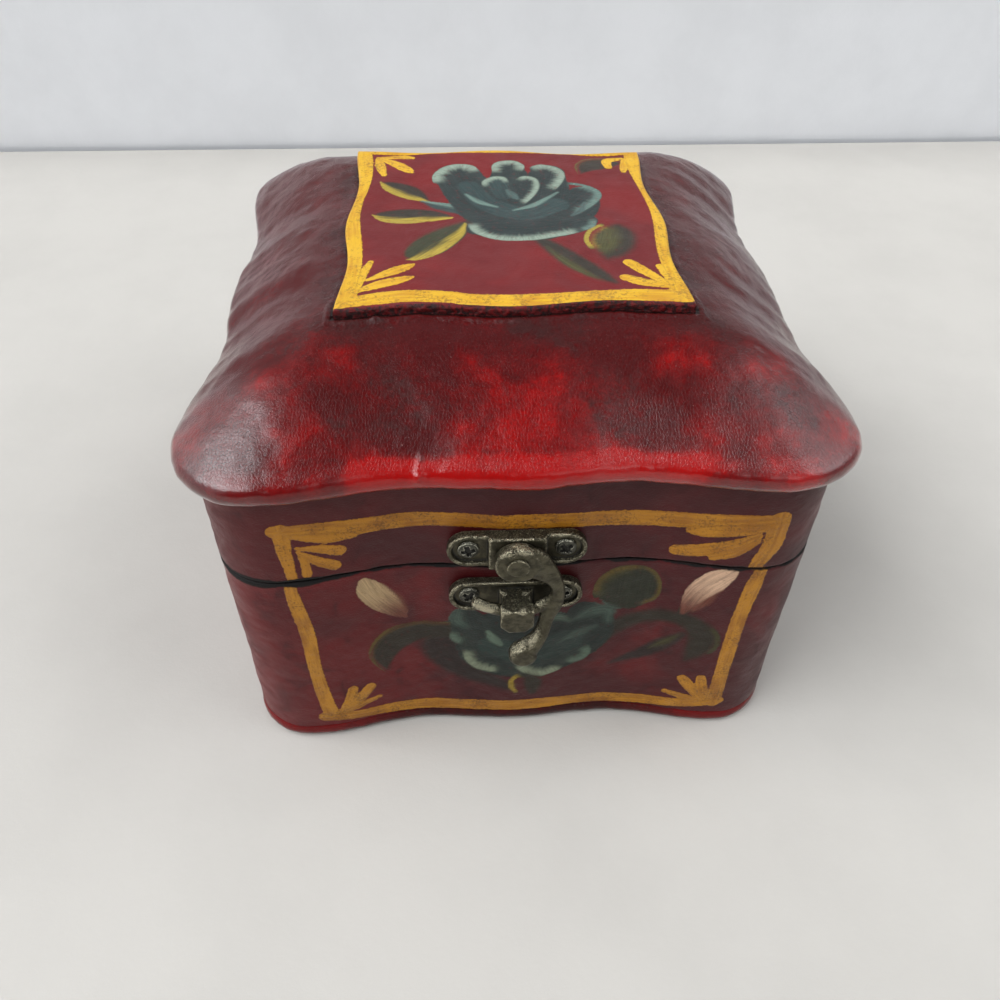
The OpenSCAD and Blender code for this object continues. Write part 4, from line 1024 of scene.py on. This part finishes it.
# Swinging hook: the arm and its thumb pad are (across, height, half width, back, front), the finger
# turns about the pivot and passes behind the head of the post
hookSettings = {"pivot": (-0.8, 62.5), "bossRadius": 4.7, "bossFront": 69.3, "back": 66.65, "bore": (1.55, 2.35, 69.0), "passes": 10,
                "arm": [(-0.6, 62.5, 4.2, 66.65, 69.25), (1.6, 62.2, 4.2, 66.65, 69.2), (3.3, 61, 3.5, 66.65, 69.1), (5.0, 59.2, 2.55, 66.65, 68.9),
                        (6.5, 57.2, 1.8, 66.65, 68.75), (7.4, 55, 1.45, 66.65, 68.65), (7.7, 52.6, 1.45, 66.65, 68.65), (7.3, 50.2, 1.7, 66.65, 68.65),
                        (6.6, 48.2, 1.85, 66.65, 68.7), (5.9, 46.4, 1.75, 66.65, 68.8), (5.5, 44.4, 1.55, 66.65, 69), (5.1, 42.4, 1.5, 66.7, 69.4),
                        (4.5, 40.5, 1.6, 66.8, 69.9), (3.6, 38.6, 1.8, 66.95, 70.4), (2.3, 36.8, 2.3, 67.1, 70.75), (1.0, 35, 2.8, 67.2, 70.9)],
                "pad": (0.8, 34.4, 3.1, 67.2, 70.9), "root": [(7.2, 51.6, 1.3), (5.8, 49.9, 1.35), (4.2, 48.7, 1.35)],
                "finger": (15.3, 14.6, -10, 38, 1.3, 1.3, 68.9)}


def sweepBar(stations, power=0.68, steps=28):
    # Bar with rounded edges, laid along its stations
    line = roundedLine(stations, 0.4)
    turns = np.linspace(0, 2 * np.pi, steps, endpoint=False)
    over = np.sign(np.cos(turns)) * np.abs(np.cos(turns)) ** power
    out = np.sign(np.sin(turns)) * np.abs(np.sin(turns)) ** power
    rings = []
    for i, (x, z, half, back, front) in enumerate(line):
        way = line[min(i + 1, len(line) - 1), :2] - line[max(i - 1, 0), :2]
        side = np.array([-way[1], way[0]]) / max(math.hypot(*way), 1e-6)
        middle, deep = (back + front) / 2, (front - back) / 2
        rings.append(np.column_stack([x + side[0] * over * half, -middle - out * deep, z + side[1] * over * half]))
    rings = [rings[0] * 0 + rings[0].mean(0)] + rings + [rings[-1] * 0 + rings[-1].mean(0)]
    return loftGrid(rings)


def roundBar(x, z, radius, back, front, bevel=0.0):
    bm = bmesh.new()
    bmesh.ops.create_cone(bm, cap_ends=True, segments=96, radius1=radius, radius2=radius, depth=front - back)
    bmesh.ops.rotate(bm, matrix=Matrix.Rotation(math.pi / 2, 3, "X"), verts=bm.verts)
    bmesh.ops.translate(bm, vec=(x, -(front + back) / 2, z), verts=bm.verts)
    if bevel:
        rims = [e for e in bm.edges if abs(e.verts[0].co.y - e.verts[1].co.y) < 0.001 and len(e.link_faces[0].verts) != len(e.link_faces[1].verts)]
        bmesh.ops.bevel(bm, geom=rims, offset=bevel, segments=5, profile=0.5, affect="EDGES", material=-1)
    return bm


def makeHook(settings):
    x, z = settings["pivot"]
    bm = bmesh.new()
    addForm(bm, roundBar(x, z, settings["bossRadius"], settings["back"], settings["bossFront"], 0.5))
    addForm(bm, sweepBar(settings["arm"]))
    addForm(bm, roundBar(*settings["pad"], 1.1))
    near, far, first, last, root, tip, front = settings["finger"]
    finger = [(*station, settings["back"], 68.65) for station in settings["root"]]
    for k in range(13):
        a = math.radians(first + (last - first) * k / 12)
        half, radius = root + (tip - root) * k / 12, near + (far - near) * k / 12
        finger.append((x - radius * math.sin(a), z - radius * math.cos(a), half * (1 if k < 12 else 0.6), settings["back"], front))
    addForm(bm, sweepBar(finger, 0.85))
    shank, head, floor = settings["bore"]
    cutter = roundBar(x, z, shank, 60, 75)
    addForm(cutter, roundBar(x, z, head, floor, 75))
    mesh = bpy.data.meshes.new("boreTool")
    cutter.to_mesh(mesh)
    cutter.free()
    tool = bpy.data.objects.new("boreTool", mesh)
    scene.collection.objects.link(tool)
    bm = softenCast(bm, "latchHook", castSettings["voxel"], settings["passes"], tool)
    bpy.data.objects.remove(tool)
    hook = finishPiece(bm, "latchHook", "hook", bronze, ("latch_hook",)).data
    setWearAndHighlight(hook, rubAndHighlightSpots["hook"])
    # The horn is rubbed bright by the thumb, with a painted highlight on it
    places, wearAndHighlight = meshPlaces(hook), np.zeros(len(hook.vertices))
    hook.attributes["edgeWearAndHighlight"].data.foreach_get("value", wearAndHighlight)
    rubbed = softStep(-places[:, 0], 3.5, 6) * softStep(-places[:, 2], -55, -53) * softStep(-places[:, 1], 67.4, 68.2)
    hook.attributes["edgeWearAndHighlight"].data.foreach_set("value", np.clip(wearAndHighlight + 0.8 * rubbed, -1, 1).astype(np.float32))


makeHook(hookSettings)

# Domed cross-head screws of the latch: (across, height, turn of the cross)
screwSettings = {"upper": ("latchScrews", "latch_screws", "lid", [(-10.6, 63.2, 12), (9.0, 63.2, 38)]),
                 "lower": ("catchScrews", "catch_screws", "box", [(-10.6, 49.3, 58), (9.0, 49.3, 22)]),
                 "radius": 2.15, "top": 65.5, "crown": 0.55, "rim": 64.2, "shank": (0.9, 59.5), "cross": (1.5, 0.42, 0.85)}


def makeScrews(name, node, body, places, settings):
    bm = bmesh.new()
    radius, top, crown = settings["radius"], settings["top"], settings["crown"]
    reach, half, deep = settings["cross"]
    turns = np.linspace(0, 2 * math.pi, 112, endpoint=False)
    for x, z, turn in places:
        rings = []
        for share in np.linspace(0, 1, 34):
            r = radius * share
            along, across = r * np.cos(turns), r * np.sin(turns)
            cut = np.zeros(len(turns))
            for u, v in ((along, across), (across, along)):
                slot = (1 - softStep(np.abs(v), half * 0.8, half * 1.25 + 0.05)) * (1 - softStep(np.abs(u), reach - 0.25, reach))
                cut = np.maximum(cut, slot * (1 - 0.35 * np.abs(u) / reach))
            tilt = turns + math.radians(turn)
            out = top - crown * share ** 2.6 - deep * cut
            rings.append(np.column_stack([x + r * np.cos(tilt), -out, z + r * np.sin(tilt)]))
        shank, end = settings["shank"]
        for r, depth in ((radius, settings["rim"]), (shank, settings["rim"]), (shank, end + 0.2), (0, end)):
            rings.append(np.column_stack([x + r * np.cos(tilt), np.full(len(tilt), -depth), z + r * np.sin(tilt)]))
        head = loftGrid(rings)
        bmesh.ops.recalc_face_normals(head, faces=head.faces)
        addForm(bm, head)
    screws = finishPiece(bm, name, body, screwSteel, (node,), 60).data
    setWearAndHighlight(screws)
    # The cross is black with old dirt and painted shade in its recess
    spots, wearAndHighlight = meshPlaces(screws), np.zeros(len(screws.vertices))
    screws.attributes["edgeWearAndHighlight"].data.foreach_get("value", wearAndHighlight)
    share = np.min([np.hypot(spots[:, 0] - x, spots[:, 2] - z) for x, z, turn in places], 0) / radius
    sunk = (top - crown * np.minimum(share, 1) ** 2.6 + spots[:, 1]) * (share < 0.7)
    screws.attributes["edgeWearAndHighlight"].data.foreach_set("value", np.where(sunk > 0.12, -1, wearAndHighlight).astype(np.float32))


for part in ("upper", "lower"):
    makeScrews(*screwSettings[part], screwSettings)

# CAD nodes that stay get their finishes
innerWood, felt, brass = makeInnerWood(), makeFelt(), makeBrass()
finishes = {"wall": innerWood, "rail": innerWood, "lining": felt, "hinge": brass}
for nodeName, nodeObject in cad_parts.items():
    for word, material in finishes.items():
        if word in nodeName and not nodeObject.hide_render:
            nodeObject.data.materials.clear()
            nodeObject.data.materials.append(material)
print("finishes laid")

# Pale table, low wall behind it and soft light
stageSettings = {"wallAt": 300, "wallTop": 150, "gap": 3, "floorColour": (188, 185, 179), "wallColour": (238, 240, 243)}


def makeStage(settings):
    back = settings["wallAt"]
    for name, colour, low, high in (
        ("table", settings["floorColour"], (-2500, -2500, -0.02), (2500, back - settings["gap"], -0.02)),
        ("backWall", settings["wallColour"], (-2500, back, -40), (2500, back, settings["wallTop"])),
    ):
        material, tree, shader = newMaterial(name + "Paint")
        spot = inMillimetres(tree)
        stain = sampleNoise(tree, spot, 0.02, 4, 0.6)
        speck = sampleNoise(tree, spot, 0.35, 5, 0.7)
        colour = blend(tree, ramp(tree, stain, 0.35, 0.7, 0.0, 0.25), srgb(*colour), srgb(*[c * 0.9 for c in colour]))
        feed(tree, shader.inputs["Base Color"], colour)
        feed(tree, shader.inputs["Normal"], bumpFrom(tree, speck, 0.4, 0.25))
        shader.inputs["Roughness"].default_value = 0.7
        if name == "backWall":
            # Clear from behind, so that views from the back see past the wall
            behind = addNode(tree, "NewGeometry").outputs["Backfacing"]
            clear = addNode(tree, "BsdfTransparent").outputs[0]
            seen = addNode(tree, "MixShader", {0: behind, 1: shader.outputs[0], 2: clear}).outputs[0]
            feed(tree, tree.nodes["Material Output"].inputs["Surface"], seen)
        bm = bmesh.new()
        bmesh.ops.create_grid(bm, x_segments=2, y_segments=2, size=1)
        for vert in bm.verts:
            across, up = (vert.co.x + 1) / 2, (vert.co.y + 1) / 2
            vert.co = [a + (b - a) * share for a, b, share in zip(low, high, (across, up, up))]
        bmesh.ops.scale(bm, vec=(mm, mm, mm), verts=bm.verts)
        mesh = bpy.data.meshes.new(name)
        bm.to_mesh(mesh)
        bm.free()
        mesh.materials.append(material)
        sheet = bpy.data.objects.new(name, mesh)
        scene.collection.objects.link(sheet)


makeStage(stageSettings)

# A pale room as seen from the box: each pane is (level, edges), and an edge (axis, outside, inside)
# fades the pane in between two values of the direction. A later pane covers an earlier one.
lightSettings = {
    "colour": (0.96, 0.975, 1.0), "dim": 0.12, "behind": 0.84,
    "panes": [
        (0.32, [("X", 0.08, 0.22)]),
        (0.74, [("Y", 0.35, 0.6)]),
        (0.4, [("X", 0.38, 0.55), ("Y", -0.78, -0.55), ("Y", 0.7, 0.5)]),
        (3.0, [("X", 0.36, 0.42), ("Y", -0.5, -0.42), ("Y", 0.35, 0.25), ("Z", 0.4, 0.46), ("Z", 0.93, 0.9)]),
        (0.95, [("X", -0.2, -0.34), ("Y", -0.78, -0.55), ("Y", 0.75, 0.5)]),
        (8.6, [("X", -0.29, -0.33), ("Y", -0.6, -0.55), ("Y", 0.25, 0.17), ("Z", 0.52, 0.57), ("Z", 0.88, 0.86)]),
    ],
    "windows": [("frontWindow", (330, -1050, 760), 0.42, 0.7)],
}


def makeLights(settings):
    world = bpy.data.worlds.new("studio")
    world.use_nodes = True
    tree = world.node_tree
    background = tree.nodes["Background"]
    way = addNode(tree, "SeparateXYZ", {"Vector": addNode(tree, "TexCoord").outputs["Generated"]}).outputs
    level = settings["dim"]
    for strength, edges in settings["panes"]:
        share = 1.0
        for axis, outside, inside in edges:
            share = maths(tree, "MULTIPLY", ramp(tree, way[axis], outside, inside), share)
        level = mixValues(tree, share, level, strength)
    level = maths(tree, "MULTIPLY", level, ramp(tree, way["Z"], -0.05, 0.0))
    seen = addNode(tree, "LightPath").outputs["Is Camera Ray"]
    feed(tree, background.inputs["Strength"], mixValues(tree, seen, level, settings["behind"]))
    background.inputs["Color"].default_value = (*settings["colour"], 1)
    scene.world = world
    for name, place, size, power in settings["windows"]:
        data = bpy.data.lights.new(name, "AREA")
        data.shape, data.size, data.energy = "SQUARE", size, power
        lamp = bpy.data.objects.new(name, data)
        aim = Vector((0, 0, 60)) - Vector(place)
        lamp.matrix_world = Matrix.Translation(Vector(place) * mm) @ aim.to_track_quat("-Z", "Y").to_matrix().to_4x4()
        scene.collection.objects.link(lamp)


makeLights(lightSettings)
scene.view_settings.view_transform = "Standard"
